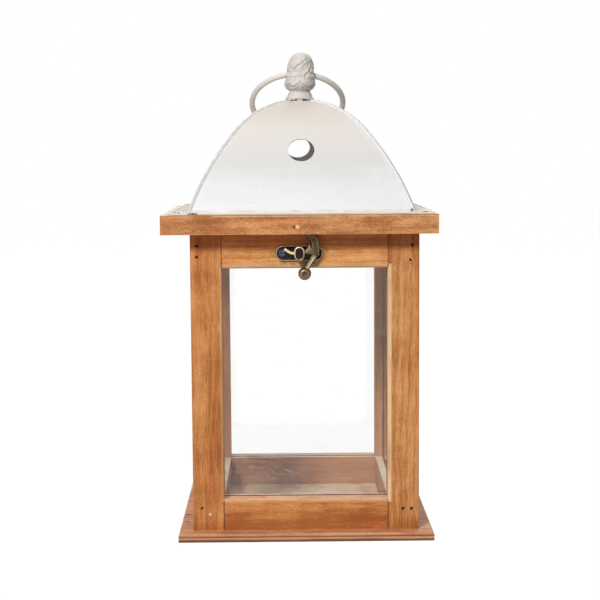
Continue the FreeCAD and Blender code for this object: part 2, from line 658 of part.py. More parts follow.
def pivot_point():
    """Where the pin of the latch crosses the plane of the horn."""
    across = size("eye_shift") + size("pivot_offset")
    return FreeCAD.Vector(across, -body_half - size("horn_plane"), body_top + size("pivot_rise"))


def tine_radius_of_swing():
    """The tine is an arc about the pivot, at the level of the eye."""
    return size("pivot_rise") + size("eye_drop")


def swing_torus(radius, start, end):
    """A piece of ring about the pivot, between two angles from straight down to the right."""
    centre = pivot_point()
    torus = Part.makeTorus(tine_radius_of_swing(), radius, FreeCAD.Vector(), Z_AXIS, 0,
                           math.degrees(2 * math.pi), end - start)
    torus.rotate(FreeCAD.Vector(), X_AXIS, math.degrees(math.pi / 2))
    quarter = math.degrees(math.pi / 2)
    torus.rotate(FreeCAD.Vector(), Y_AXIS, quarter - start)
    torus.translate(centre)
    return torus


def tine_end(angle):
    turn = math.radians(angle)
    radius = tine_radius_of_swing()
    return pivot_point() + FreeCAD.Vector(radius * math.sin(turn), 0, -radius * math.cos(turn))


def horn_sections():
    """Ellipses square to the horn's centre line, which runs smoothly through its shares."""
    drop = size("horn_drop")
    line = Part.BSplineCurve()
    line.interpolate([FreeCAD.Vector(across, half_wide, -down) * drop
                      for across, down, half_wide in HORN_SHARES])
    stations = line.discretize(HORN_SECTIONS)
    centre = pivot_point()
    points = [centre + FreeCAD.Vector(station.x, 0, station.z) for station in stations]
    wires = []
    for before, point, after, station in zip(points[:1] + points, points, points[1:] + points[-1:], stations):
        half_wide = station.y
        half_thick = min(size("horn_thick") / 2, half_wide * ROUND_SHARE)
        along = (after - before).normalize()
        side = Y_AXIS.cross(along)
        wire = Part.Wire(Part.Ellipse(FreeCAD.Vector(), half_wide, half_thick).toShape())
        wire.Placement = FreeCAD.Placement(point, FreeCAD.Rotation(side, Y_AXIS, along, "XYZ"))
        wires.append(wire)
    return wires


def latch_horn():
    """The swinging horn: hub, curved neck, tine through the eye, handle and knob."""
    centre = pivot_point()
    thick = size("horn_thick")
    start = centre - Y_AXIS * (thick / 2)
    hub = Part.makeCylinder(size("horn_hub_radius"), thick, start, Y_AXIS)
    neck = Part.makeLoft(horn_sections(), True, True)
    tine = swing_torus(size("tine_radius"), -size("tine_tip_angle"), size("tine_root_angle"))
    tip = Part.makeSphere(size("tine_radius"), tine_end(-size("tine_tip_angle")))
    share = HORN_SHARES[-1]
    knob_at = centre + FreeCAD.Vector(share[0] * size("horn_drop"), 0, -size("horn_drop"))
    knob = Part.makeSphere(size("knob_radius"), knob_at)
    shape = hub.fuse([neck, tine, tip, knob])
    radius = size("pivot_radius") + size("pivot_play")
    shape = shape.cut(Part.makeCylinder(radius, 2 * thick, centre - Y_AXIS * thick, Y_AXIS))
    keep(solid("latch_horn_shape", shape.removeSplitter()), "latch_horn")


def horn_pocket():
    """The pocket in the underside of the lid's front board where the horn turns."""
    plane = "(-body_width / 2 - horn_plane)"
    thin = "(horn_thick / 2 + horn_play)"
    pivot = "(eye_shift + pivot_offset)"
    low = (f"{pivot} - horn_hub_radius - 2 * horn_play", f"{plane} - {thin}", f"{BODY_TOP} - overrun")
    high = (f"{pivot} + horn_drop * {SHOULDER_SHARE} + horn_play", f"{plane} + {thin}",
            f"{BODY_TOP} + pivot_rise + pivot_rise + 3 * horn_play")
    return block("horn_pocket", low, high)


def latch_pin():
    """The brad through the lid's front edge that the horn turns on."""
    at = ("eye_shift + pivot_offset", f"-{LID_HALF}", f"{BODY_TOP} + pivot_rise")
    long = "lid_overhang - horn_plane + horn_thick / 2 + horn_play + pivot_bite"
    shank = rod("pin_shank", "pivot_radius", long, Y_AXIS, at)
    head = rod("pin_head", "pivot_head_radius", "pivot_head_thick", Y_AXIS, at)
    return keep(fused("latch_pin_shape", [shank, head]), "latch_pin")


def keeper_screw_places():
    level = body_top - size("eye_drop")
    face = -body_half - size("keeper_thick") + size("keeper_tray")
    return [heading((0, 1, 0), (size("eye_shift") + hand * size("keeper_screw_offset"), face, level))
            for hand in (-1, 1)]


def stadium(long, tall, low_y, high_y):
    """A plate with round ends across the front, between two depths."""
    level = body_top - size("eye_drop")
    radius = tall / 2
    straight = long / 2 - radius
    deep = high_y - low_y
    starts = [FreeCAD.Vector(size("eye_shift") + hand * straight, low_y, level) for hand in (-1, 1)]
    ends = [Part.makeCylinder(radius, deep, start, Y_AXIS) for start in starts]
    middle = Part.makeBox(2 * straight, deep, tall)
    middle.translate(starts[0] - Z_AXIS * radius)
    return ends[0].fuse([ends[1], middle]).removeSplitter()


def eye_post(wide, tall, low_y, high_y):
    """An upright oval that stands out of the keeper."""
    shape = stadium(tall, wide, low_y, high_y)
    centre = FreeCAD.Vector(size("eye_shift"), 0, body_top - size("eye_drop"))
    shape.rotate(centre, Y_AXIS, math.degrees(math.pi / 2))
    return shape


def latch_keeper(masters):
    """The keeper: dished plate with a hollow oval eye that the tine passes through."""
    face = -body_half - size("keeper_thick")
    rim = size("keeper_rim")
    plate = stadium(size("keeper_long"), size("keeper_tall"), face, -body_half)
    tray = stadium(size("keeper_long") - 2 * rim, size("keeper_tall") - 2 * rim,
                   face - size("overrun"), face + size("keeper_tray"))
    front = face - size("eye_reach")
    wide, tall, wall = size("eye_wide"), size("eye_tall"), size("eye_wall")
    post = eye_post(wide, tall, front, face + size("keeper_tray"))
    bore = eye_post(wide - 2 * wall, tall - 2 * wall, front - size("overrun"), face + size("keeper_tray"))
    shape = plate.cut(tray).fuse(post).cut(bore)
    passage = swing_torus(size("tine_radius") + size("eye_play"), -size("tine_tip_angle"),
                          size("tine_root_angle"))
    shape = shape.cut(passage)
    for place in keeper_screw_places():
        hole = masters["screw_hole"].Shape.copy()
        hole.Placement = place.multiply(hole.Placement)
        shape = shape.cut(hole)
    keep(solid("latch_keeper_shape", shape.removeSplitter()), "latch_keeper")
    keep(copies("keeper_screws_shape", masters["screw"], keeper_screw_places()), "keeper_screws")


def hinge_axis():
    """The line of the hinge pins, in the corner under the lid's rear overhang."""
    off = size("knuckle_radius") + size("knuckle_gap")
    return body_half + off, body_top - off


def rail_screw_places():
    """Screws of the hinge leaves on the back of the case."""
    _, level = hinge_axis()
    face = body_half + size("leaf_thick")
    return [heading((0, -1, 0), (x, face, level - size("hinge_screw_reach"))) for x in hinge_screw_xs()]


def lid_screw_places():
    """Screws of the hinge leaves under the lid."""
    depth, _ = hinge_axis()
    face = body_top - size("leaf_thick")
    return [heading((0, 0, 1), (x, depth + size("hinge_screw_reach"), face)) for x in hinge_screw_xs()]


def hinge_half_spacing():
    """Each hinge stands clear of the dowel in the nearest post."""
    return inner_x - size("hinge_inset")


def hinge_screw_xs():
    half, side = hinge_half_spacing(), size("hinge_screw_offset")
    return [hand * half + offset for hand in (-1, 1) for offset in (-side, side)]


def leaf(outer):
    """One leaf about the pin line at the origin: a plate along +Y with its rolled knuckles."""
    wide, long, thick = size("hinge_wide"), size("leaf_long"), size("leaf_thick")
    radius, gap = size("knuckle_radius"), size("knuckle_gap")
    top = radius + gap
    share = wide / KNUCKLES
    plate = Part.makeBox(wide, long, thick, FreeCAD.Vector(-wide / 2, 0, top - thick))
    reliefs, rolls = [], []
    for index in range(KNUCKLES):
        left = -wide / 2 + index * share
        own = (index % 2 == 0) == outer
        if own:
            trim = 0 if outer else gap
            start = FreeCAD.Vector(left + trim, 0, 0)
            rolls.append(Part.makeCylinder(radius, share - 2 * trim, start, X_AXIS))
        else:
            start = FreeCAD.Vector(left - gap, -radius, -radius)
            reliefs.append(Part.makeBox(share + 2 * gap, 2 * radius + gap, top + radius, start))
    shape = plate
    for box in reliefs:
        shape = shape.cut(box)
    return shape.fuse(rolls)


def hinges(masters):
    """Two butt hinges: leaves on the case, leaves under the lid, and their pins."""
    depth, level = hinge_axis()
    wide, pin_radius = size("hinge_wide"), size("hinge_pin_radius")
    start = FreeCAD.Vector(-wide / 2, 0, 0)
    pin = Part.makeCylinder(pin_radius, wide, start, X_AXIS)
    turned = leaf(True).cut(pin)
    turned.rotate(FreeCAD.Vector(), X_AXIS, -math.degrees(math.pi / 2))
    turned = turned.mirror(FreeCAD.Vector(), Y_AXIS)
    lid_leaf = leaf(False).cut(Part.makeCylinder(pin_radius + size("hinge_play"), wide, start, X_AXIS))
    sets = (("hinge_leaves_case", turned, rail_screw_places()),
            ("hinge_leaves_lid", lid_leaf, lid_screw_places()),
            ("hinge_pins", pin, []))
    for label, shape, holes in sets:
        pieces = []
        for hand in (-1, 1):
            piece = shape.copy()
            piece.translate(FreeCAD.Vector(hand * hinge_half_spacing(), depth, level))
            pieces.append(piece)
        whole = Part.makeCompound(pieces)
        for place in holes:
            hole = masters["screw_hole"].Shape.copy()
            hole.Placement = place.multiply(hole.Placement)
            whole = whole.cut(hole)
        keep(solid(f"{label}_shape", whole), label)
    keep(copies("case_hinge_screws_shape", masters["screw"], rail_screw_places()), "hinge_screws_case")
    keep(copies("lid_hinge_screws_shape", masters["screw"], lid_screw_places()), "hinge_screws_lid")


def write_parts():
    """Stops on any failed object or shape, then writes one file per sub-part."""
    doc.recompute()
    failed = [thing.Name for thing in doc.Objects if {"Invalid", "Error"} & set(thing.State)]
    if failed:
        raise RuntimeError("failed objects: " + ", ".join(failed))
    for thing in nodes:
        if thing.Shape.isNull() or not thing.Shape.isValid() or not thing.Shape.Solids:
            raise RuntimeError("bad shape: " + thing.Label)
    os.makedirs("parts", exist_ok=True)
    for thing in nodes:
        thing.Shape.exportStep(f"parts/{thing.Label}.step")
        box = thing.Shape.BoundBox
        print(f"{thing.Label:20s} solids {len(thing.Shape.Solids):2d} volume {thing.Shape.Volume:10.1f}"
              f"  x {box.XMin:7.1f} {box.XMax:7.1f}  y {box.YMin:7.1f} {box.YMax:7.1f}"
              f"  z {box.ZMin:6.1f} {box.ZMax:6.1f}")


def build():
    masters = fastener_masters()
    doc.recompute()
    carcass(masters)
    lid(masters)
    roof()
    finial()
    finial_bolt()
    carry_ring()
    latch_keeper(masters)
    latch_horn()
    hinges(masters)
    write_parts()


build()
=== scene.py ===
import random
from math import atan2, copysign, cos, exp, hypot, pi, radians, sin, sqrt

import bpy
from mathutils import Matrix, Vector, noise


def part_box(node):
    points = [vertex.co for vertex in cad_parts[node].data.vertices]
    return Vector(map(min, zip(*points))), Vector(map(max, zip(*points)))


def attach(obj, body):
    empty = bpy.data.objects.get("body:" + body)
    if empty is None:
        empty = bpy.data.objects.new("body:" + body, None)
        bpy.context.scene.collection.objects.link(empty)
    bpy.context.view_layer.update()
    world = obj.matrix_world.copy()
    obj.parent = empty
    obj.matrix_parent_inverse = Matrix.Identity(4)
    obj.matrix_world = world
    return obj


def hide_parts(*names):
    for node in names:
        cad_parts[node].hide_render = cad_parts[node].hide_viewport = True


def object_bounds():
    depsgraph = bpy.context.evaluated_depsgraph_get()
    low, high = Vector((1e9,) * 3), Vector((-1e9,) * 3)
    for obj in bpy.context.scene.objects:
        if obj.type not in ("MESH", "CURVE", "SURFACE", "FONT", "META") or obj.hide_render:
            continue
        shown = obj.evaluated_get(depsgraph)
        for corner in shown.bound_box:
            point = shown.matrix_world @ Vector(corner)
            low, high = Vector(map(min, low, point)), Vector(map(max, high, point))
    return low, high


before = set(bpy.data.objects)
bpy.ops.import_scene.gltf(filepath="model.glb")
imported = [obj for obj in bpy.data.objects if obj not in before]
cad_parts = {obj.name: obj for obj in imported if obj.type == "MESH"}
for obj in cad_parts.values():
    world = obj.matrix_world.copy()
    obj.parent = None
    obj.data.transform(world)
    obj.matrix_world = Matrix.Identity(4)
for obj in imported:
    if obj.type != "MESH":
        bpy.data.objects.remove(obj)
cad_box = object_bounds()

# A glazed wooden candle lantern with a painted sheet roof, a cast cone, a carrying ring
# and a bronze horn latch. Metres, +Z up, the front faces -Y.

MM = 0.001
WHITE = (1.0, 1.0, 1.0, 1.0)
SIDES = ("front", "back", "left", "right")


# Places that several pieces share, in millimetres, read from the CAD parts.
def low(node):
    return Vector(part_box(node)[0]) / MM


def high(node):
    return Vector(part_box(node)[1]) / MM


def mid(node):
    return (low(node) + high(node)) / 2


CASE_HALF = high("post_back_right").x
CASE_TOP = high("post_front_left").z
WINDOW_X = low("post_front_right").x
WINDOW_Y = low("post_back_right").y
WINDOW_LOW = high("bottom_rail_front").z
WINDOW_HIGH = low("top_rail_front").z
FRONT_PANE = mid("glass_back").y
SIDE_PANE = mid("glass_right").x
BASE_TOP = high("base_board").z
LID_FRONT = low("lid_front").y
LID_RIGHT = high("lid_front").x
LID_TOP = high("lid_front").z
ROOF_X = (low("roof_left").x + high("roof_right").x) / 2
FLANGE_HALF = (high("roof_right").x - low("roof_left").x) / 2
NAIL_HEAD = 3.2
ROOF_NAIL = (high("roof_nails").y - low("roof_nails").y) / 2 - NAIL_HEAD
PIN = mid("latch_pin")
KEEPER = mid("latch_keeper")
HORN = mid("latch_horn")

# The roof's section about its own middle and above the lid.
DOME_HALF, DOME_RISE, CROWN_RADIUS, CROWN_ANGLE = 77.9, 80.0, 58.0, radians(50)
SHEET = 0.8


def tint(red, green, blue):
    """A colour given as it shows on screen, 0 to 255, as the linear colour that nodes take."""
    channels = []
    for value in (red, green, blue):
        share = value / 255
        channels.append(share / 12.92 if share <= 0.04045 else ((share + 0.055) / 1.055) ** 2.4)
    return (*channels, 1.0)


class Value:
    """What a node puts out. Sums, differences and products of it make further nodes."""

    def __init__(self, graph, socket):
        self.graph, self.socket = graph, socket

    def __add__(self, other):
        return self.graph.math("ADD", self, other)

    def __sub__(self, other):
        return self.graph.math("SUBTRACT", self, other)

    def __rsub__(self, other):
        return self.graph.math("SUBTRACT", other, self)

    def __mul__(self, other):
        return self.graph.math("MULTIPLY", self, other)

    def __truediv__(self, other):
        return self.graph.math("DIVIDE", self, other)

    def __abs__(self):
        return self.graph.math("ABSOLUTE", self)

    def band(self, start, end):
        """0 below start and 1 above end, or the other way round where end is the lower."""
        first, last = (0.0, 1.0) if start < end else (1.0, 0.0)
        limits = {"From Min": min(start, end), "From Max": max(start, end), "To Min": first, "To Max": last}
        return self.graph.get("MapRange", {"Value": self, **limits}, interpolation_type="SMOOTHSTEP")

    def near(self, middle, outer, inner):
        """1 within inner of a middle and 0 beyond outer."""
        return abs(self - middle).band(outer, inner)


class Graph:
    """Builds the node tree of a material or of the world."""

    def __init__(self, owner):
        owner.use_nodes = True
        self.owner, self.tree = owner, owner.node_tree

    def put(self, socket, value):
        if isinstance(value, Value):
            self.tree.links.new(value.socket, socket)
        else:
            socket.default_value = value

    def add(self, kind, inputs=None, **settings):
        """A new node; inputs go by their name or number."""
        node = self.tree.nodes.new("ShaderNode" + kind)
        for key, value in settings.items():
            setattr(node, key, value)
        for key, value in (inputs or {}).items():
            self.put(node.inputs[key], value)
        return node

    def outputs(self, node, *names):
        return [Value(self, node.outputs[name]) for name in names]

    def get(self, kind, inputs=None, output=0, **settings):
        """One output of a new node."""
        return self.outputs(self.add(kind, inputs, **settings), output)[0]

    def math(self, operation, *values):
        return self.get("Math", dict(enumerate(values)), operation=operation)

    def most(self, first, *others):
        for value in others:
            first = self.math("MAXIMUM", first, value)
        return first

    def length(self, first, second):
        return self.math("SQRT", first * first + second * second)

    def join(self, x, y, z):
        return self.get("CombineXYZ", {"X": x, "Y": y, "Z": z})

    def split(self, vector):
        return self.outputs(self.add("SeparateXYZ", {"Vector": vector}), "X", "Y", "Z")

    def place(self):
        """Where the surface is on its own object, in millimetres."""
        metres = self.get("TexCoord", output="Object")
        return self.get("VectorMath", {0: metres, "Scale": 1 / MM}, operation="SCALE")

    def facing(self):
        """The surface's direction on its own object, in three parts."""
        return self.split(self.get("TexCoord", output="Normal"))

    def note(self, name):
        """What a piece's mesh says of its vertices; 0 where it says nothing."""
        return self.get("Attribute", output="Fac", attribute_name=name)

    def noise(self, vector, scale, detail, roughness=0.5):
        look = {"Vector": vector, "Scale": scale, "Detail": detail, "Roughness": roughness}
        return self.get("TexNoise", look, "Fac")

    def cells(self, vector, scale):
        return self.get("TexVoronoi", {"Vector": vector, "Scale": scale}, "Distance")

    def dots(self, vector, scale, reach, share):
        """Round dots in a share of the cells of a flat pattern, each with its own strength."""
        pattern = self.add("TexVoronoi", {"Vector": vector, "Scale": scale}, voronoi_dimensions="2D")
        distance, draws = self.outputs(pattern, "Distance", "Color")
        chance, strength, _ = self.split(draws)
        chosen = chance.band(1 - share, 1.02 - share)
        return distance.band(reach, 0.5 * reach) * chosen * (strength * 0.75 + 0.25)

    def mix(self, factor, first, second, blend="MIX"):
        """The first colour with the second laid over it."""
        node = self.add("Mix", data_type="RGBA", blend_type=blend)
        sockets = {socket.identifier: socket for socket in (*node.inputs, *node.outputs)}
        for name, value in (("Factor_Float", factor), ("A_Color", first), ("B_Color", second)):
            self.put(sockets[name], value)
        return Value(self, sockets["Result_Color"])

    def ramp(self, factor, stops):
        node = self.add("ValToRGB", {"Fac": factor})
        elements = node.color_ramp.elements
        while len(elements) < len(stops):
            elements.new(0.5)
        for element, (position, color) in zip(elements, stops):
            element.position, element.color = position, color
        return self.outputs(node, "Color")[0]

    def bump(self, height, distance, strength):
        look = {"Height": height, "Strength": strength, "Distance": distance}
        return self.get("Bump", look, "Normal")

    def edges(self, radius, start=0.02, end=0.30):
        """Up to 1 on edges of the piece and 0 further than a radius, in metres, from them. start
        and end are the bends between which it rises."""
        soft = self.get("Bevel", {"Radius": radius}, "Normal", samples=4)
        true = self.get("NewGeometry", output="True Normal")
        alike = self.get("VectorMath", {0: soft, 1: true}, "Value", operation="DOT_PRODUCT")
        return (1.0 - alike).band(start, end)

    def blend(self, factor, first, second):
        """A mix of two shaders."""
        return self.get("MixShader", {0: factor, 1: first, 2: second})

    def show(self, shader):
        """The material, with this shader as its surface."""
        self.add("OutputMaterial", {"Surface": shader})
        return self.owner

    def principled(self, **inputs):
        """The material; names of the shader's inputs have their spaces as underscores."""
        return self.show(self.get("BsdfPrincipled", {key.replace("_", " "): inputs[key] for key in inputs}))


def material_graph(name):
    """The empty node tree of a new material."""
    g = Graph(bpy.data.materials.new(name))
    g.tree.nodes.clear()
    return g


def shade_steps(*steps):
    """Ramp stops from steps of a facing from -1 to 1 and a colour as it shows on screen."""
    return [((facing + 1) / 2, tint(*color)) for facing, *color in steps]


def dress(node, material):
    """Gives a CAD node its material."""
    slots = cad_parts[node].data.materials
    slots.clear()
    slots.append(material)


def ragged_spot(g, place, centre, radius):
    """1 in a spot with a torn outline."""
    push = (g.noise(place, 0.9, 3.0) - 0.5) * (2.2 * radius)
    moved = g.get("VectorMath", {0: place, 1: g.join(push, 0.0, push * -0.8)}, operation="ADD")
    apart = g.get("VectorMath", {0: moved, 1: centre}, "Value", operation="DISTANCE")
    return apart.band(radius, 0.35 * radius)


def spotted(g, place, color, spots, dark):
    """The colour with dark spots: place, radius and strength of each."""
    for centre, radius, strength in spots:
        color = g.mix(ragged_spot(g, place, centre, radius) * strength, color, dark)
    return color


# Wood

# The darkest soil colour is dirt, and also paints shadow: in the panes' grooves, beside the roof's flange and
# round the latch plate.
DUST, LEDGE_DUST, SOIL_AND_SHADE = tint(192, 148, 120), tint(236, 216, 190), tint(58, 34, 20)
REDDER, CHAMBER_SHADE, LID_SHADOW_TINT = tint(238, 186, 168), tint(222, 224, 214), tint(236, 206, 182)
BLEACHED, RUBBED_ARRIS, SHEET_SHADOW_LINE = tint(243, 232, 214), tint(240, 204, 166), tint(112, 74, 50)
BARE = tint(240, 204, 158)
# How far each pattern moves the tone of the wood from its middle.
MIDDLE_TONE, BROAD, FIBRE, FINE, MOTTLE, SPECK, LATE_WOOD = 0.53, 1.20, 0.75, 0.92, 0.88, 1.30, 0.13
WORN_SHARE = 0.62


def tones(red, green, blue):
    """Shadowed grain, the usual tone and bright fibres of a stained board."""
    return (tint(red * 0.80, green * 0.72, blue * 0.62), tint(red, green, blue),
            tint(min(red + 26, 245), green + 34, blue + 34))


def case_zones(g, place, reach):
    """Three parts of the case: the outer edges of its windows, fading out over a reach, the butt
    joints above and below the windows, and the lines where the panes enter their grooves, which
    take a painted shadow."""
    x, y, z = g.split(place)
    across, depth = abs(x), abs(y)
    past = g.most(z - WINDOW_HIGH, WINDOW_LOW - z)
    edges, joints, grooves = [], [], []
    faces = ((across, depth, WINDOW_X, FRONT_PANE), (depth, across, WINDOW_Y, SIDE_PANE))
    for along, out, opening, pane in faces:
        beside = g.most(along - opening, past).band(reach, 0.45 * reach)
        edges.append(beside * out.band(CASE_HALF - 2.4, CASE_HALF - 1.2))
        joints.append(along.near(opening, 0.55, 0.22) * out.band(CASE_HALF - 1.0, CASE_HALF - 0.5))
        grooves.append(out.near(pane, 2.1, 1.4) * along.band(opening + 0.5, opening + 0.2))
    joint = g.most(*joints) * past.band(-0.6, 0.4)
    groove = g.most(*grooves) * z.band(WINDOW_LOW - 1.0, WINDOW_LOW - 0.4)
    return g.most(*edges), joint, groove


def inside_case(g, place):
    """1 on what looks into the chamber."""
    x, y, _ = g.split(place)
    return abs(x).band(WINDOW_X + 6, WINDOW_X + 4) * abs(y).band(WINDOW_Y + 4, WINDOW_Y + 2)


def wood(name, along, shades, heart, slant=0.0, spacing=4.6, figure=1.0, arris=None, foot=None,
         marks=(), plies=None, dirt_and_shade=None):
    """Stained wood. along is the grain's axis, heart the place of the tree's middle in the other
    two axes, slant how the grain leans, spacing that of the rings and figure the strength of the
    grain. arris is given for the case alone, as the strength and reach of the rubbed edge at the
    window; with it come painted shade inside the chamber, the lid's painted shadow across the top
    of the case and painted shadow lines where the panes enter their grooves. foot holds the height
    where the wood starts to grow darker towards the bottom, the one below which it is darkest, and
    its strength. marks are dark spots, plies the layers that a board's edges show, by their share
    of its height, and the last argument a function that dirties the colour and may paint shade
    on it."""
    g = material_graph(name)
    place = g.place()
    spot = g.split(place)
    _, y, z = spot
    axis = "xyz".index(along)
    long, wide, deep = spot[axis], spot[(axis + 1) % 3], spot[(axis + 2) % 3]
    wide += long * slant
    shift = Vector((heart[0] * 3.1, heart[1] * 1.7, slant * 90))

    def grain(along_rate, across_rate, offset, detail=3.0, roughness=0.55):
        vector = g.join(long * along_rate + (shift.x + offset), wide * across_rate + (shift.y - offset),
                        deep * across_rate + (shift.z + 2 * offset))
        return g.noise(vector, 1.0, detail, roughness)

    sway = grain(0.014, 0.05, 3.0) - 0.5
    radius = g.length(wide + sway * 16.0 - heart[0], deep + sway * 11.0 - heart[1])
    rings = g.math("SINE", radius * (2 * pi / spacing)) * 0.5 + 0.5
    late = g.math("POWER", rings, 1.8)
    broad = grain(0.009, 0.11, 5.0, 2.0)
    fibre = grain(0.035, 0.95, 11.0, 4.0, 0.6)
    fine = grain(0.13, 3.6, 23.0, 2.0, 0.6)
    mottle = g.noise(place, 0.055, 4.0, 0.6)
    speck = g.noise(place, 1.5, 3.0, 0.65)
    tone = MIDDLE_TONE - late * (LATE_WOOD * figure)
    for value, weight in ((broad, BROAD), (fibre, FIBRE * figure), (fine, FINE * figure),
                          (mottle, MOTTLE), (speck, SPECK)):
        tone += (value - 0.5) * weight
    if foot:
        end, full, strength = foot
        tone -= z.band(end, full) * strength
    dark, usual, bright = shades
    color = g.ramp(tone, [(0.12, dark), (0.50, usual), (0.90, bright)])
    color = g.mix(grain(0.02, 0.10, 67.0).band(0.46, 0.72) * 0.40, color, REDDER, "MULTIPLY")
    pores = grain(0.10, 3.6, 90.0, 1.0).band(0.64, 0.74)
    color = g.mix(pores * 0.32, color, dark)

    facing = g.facing()
    end_grain = abs(facing[axis]).band(0.75, 0.92)
    cut_end = g.mix(late * 0.7, g.mix(0.40, dark, usual), dark)
    color = g.mix(end_grain * 0.80, color, cut_end)
    if plies:
        level = (z + (fibre - 0.5) * 0.9) / BASE_TOP
        layers = g.mix(0.45, g.ramp(level, plies), color, "OVERLAY")
        color = g.mix(abs(facing[2]).band(0.60, 0.35) * 0.88, color, layers)

    wear = g.edges(1.0 * MM) * grain(0.06, 0.4, 55.0).band(0.38, 0.66) * WORN_SHARE
    if arris:
        strength, reach = arris
        edge, joint, groove = case_zones(g, place, reach)
        wear *= z.band(WINDOW_LOW - 1, WINDOW_LOW + 1) * z.band(WINDOW_HIGH + 1, WINDOW_HIGH - 1)
        rubbed = grain(0.035, 0.16, 71.0, 3.0).band(0.22, 0.60) * 0.65 + 0.35
        reveal = y.band(-FRONT_PANE - 1.6, -FRONT_PANE - 2.2) * abs(facing[0]).band(0.6, 0.8)
        wear = g.most(wear, edge * rubbed * strength, reveal * (WORN_SHARE * strength ** 2))
    color = g.mix(wear, color, BARE)
    color = spotted(g, place, color, marks, SOIL_AND_SHADE)
    if arris or plies:
        within = inside_case(g, place)
        settled = within * g.noise(place, 0.06, 3.0).band(0.15, 0.70)
        color = g.mix(settled * (z.band(130, 20) * 0.52 + 0.10), color, DUST)
        ledge = within
        if arris:
            color = g.mix(within * (z.band(40, 90) * 0.55 + 0.45), color, CHAMBER_SHADE, "MULTIPLY")
            ledge = z.band(WINDOW_LOW - 1.4, WINDOW_LOW - 0.3)
        ledge *= facing[2].band(0.5, 0.9) * mottle.band(0.20, 0.55) * (within * 0.66 + 0.34)
        color = g.mix(ledge * 0.95, color, LEDGE_DUST)
    if arris:
        # Painted shadow of the lid's overhang across the top of the case's outer faces.
        lid_shadow = z.band(CASE_TOP - 13, CASE_TOP - 8) * (1.0 - within)
        color = g.mix(lid_shadow, color, LID_SHADOW_TINT, "MULTIPLY")
        # Painted shadow lines where the panes enter their grooves.
        color = g.mix(groove * 0.72, color, SOIL_AND_SHADE)
        color = g.mix(joint * g.noise(place, 0.8, 3.0).band(0.28, 0.52) * 0.80, color, SOIL_AND_SHADE)
    if dirt_and_shade:
        color = dirt_and_shade(g, place, color)

    relief = fibre * 0.6 + fine * 0.4 - pores * 0.5 + late * 0.2
    gloss = 0.56 - (fibre - 0.5) * 0.22 + wear * 0.18
    return g.principled(Base_Color=color, Roughness=gloss, Normal=g.bump(relief, 0.13 * MM, 0.7),
                        Specular_IOR_Level=0.34)


def under_flange(g, place, color):
    """The bleached top of the lid, the rubbed arris, a painted shadow line at the top of its front
    face under the roof's sheet, and dirt with painted shadow in a ragged band along the flange of
    the roof."""
    x, y, z = g.split(place)
    across = abs(x - ROOF_X)
    on_top = z.band(LID_TOP - 0.40, LID_TOP - 0.10)
    mottle = g.noise(place, 0.05, 4.0, 0.6)
    color = g.mix(on_top * mottle.band(0.15, 0.55) * 0.95, color, BLEACHED)
    face = y.band(LID_FRONT + 0.30, LID_FRONT + 0.10) * across.band(FLANGE_HALF + 3.0, FLANGE_HALF + 1.0)
    rubbed = z.near(LID_TOP - 0.90, 0.55, 0.25) * mottle.band(0.36, 0.58)
    color = g.mix(face * rubbed * 0.55, color, RUBBED_ARRIS)
    # A painted shadow line under the roof's sheet, along the top of the lid's front face.
    color = g.mix(face * z.near(LID_TOP - 0.22, 0.36, 0.22) * 0.80, color, SHEET_SHADOW_LINE)
    # Dirt with painted shadow in a ragged band on the lid's top beside the flange.
    beside = g.most(across, abs(y)).band(FLANGE_HALF + 1.4, FLANGE_HALF + 0.5) * on_top
    beside *= y.band(1.0 - FLANGE_HALF, 2.0 - FLANGE_HALF)
    ragged = g.noise(place, 0.16, 4.0, 0.65).band(0.28, 0.46)
    return g.mix(beside * ragged * 0.85, color, SOIL_AND_SHADE)


STILES = (("front_left", (198, 126, 65), (0.42, 1.9)), ("front_right", (201, 134, 74), (1.0, 3.2)),
          ("back_left", (196, 130, 76), (0.55, 2.2)), ("back_right", (200, 132, 74), (0.60, 2.2)))
# Level and side of a rail, its tone, its arris, and how much darker its foot is.
RAILS = (("bottom", "front", (207, 133, 70), (0.30, 3.4), 0.34),
         ("bottom", "back", (196, 128, 78), (0.50, 3.0), 0.20),
         ("top", "front", (214, 146, 80), (0.40, 5.0), 0.0),
         ("top", "back", (208, 140, 82), (0.40, 3.0), 0.0),
         ("bottom", "left", (198, 128, 72), (0.60, 3.0), 0.24),
         ("bottom", "right", (200, 132, 76), (0.60, 3.0), 0.24),
         ("top", "left", (210, 142, 84), (0.45, 4.0), 0.0),
         ("top", "right", (206, 138, 80), (0.45, 4.0), 0.0))
# Side of a lid board, its grain's axis, heart and slant.
LIDS = (("front", "x", (-118, 262), 0.13), ("back", "x", (140, 176), 0.07),
        ("left", "y", (190, 30), -0.05), ("right", "y", (268, -44), 0.09))
# Dark spots: place, radius and strength.
SCUFFS = (((CASE_HALF - 5.6, -CASE_HALF, CASE_TOP - 21.5), 1.2, 0.45),
          ((CASE_HALF - 8.0, -CASE_HALF, CASE_TOP - 9.0), 0.9, 0.30))
# Dirt round the latch plate, with painted contact shadow below it.
PLATE_SHADOW_AND_STAIN = [((KEEPER.x + across, -CASE_HALF, KEEPER.z + up), 4.2, 0.36)
               for across, up in ((-17.5, 0.5), (-11, -5.2), (-4, -6.4), (4, -6.0), (10.5, -5.4),
                                  (16.5, -3.2), (18.2, 1.5))]
PIN_SCAR = (((PIN.x - 2.6, LID_FRONT, PIN.z + 0.4), 1.7, 0.8),
            ((LID_RIGHT - 2.0, LID_FRONT, LID_TOP - 9.0), 2.6, 0.25))
KNOTS = (((-CASE_HALF - 6, -CASE_HALF + 46, BASE_TOP), 3.2, 0.8),
         ((-CASE_HALF - 6, -CASE_HALF + 25, BASE_TOP), 2.6, 0.7))
PLIES = ((0.0, tint(92, 68, 54)), (0.26, tint(108, 78, 60)), (0.34, tint(210, 176, 138)),
         (0.52, tint(204, 166, 128)), (0.58, tint(98, 68, 50)), (0.66, tint(142, 100, 76)),
         (0.76, tint(190, 142, 110)))


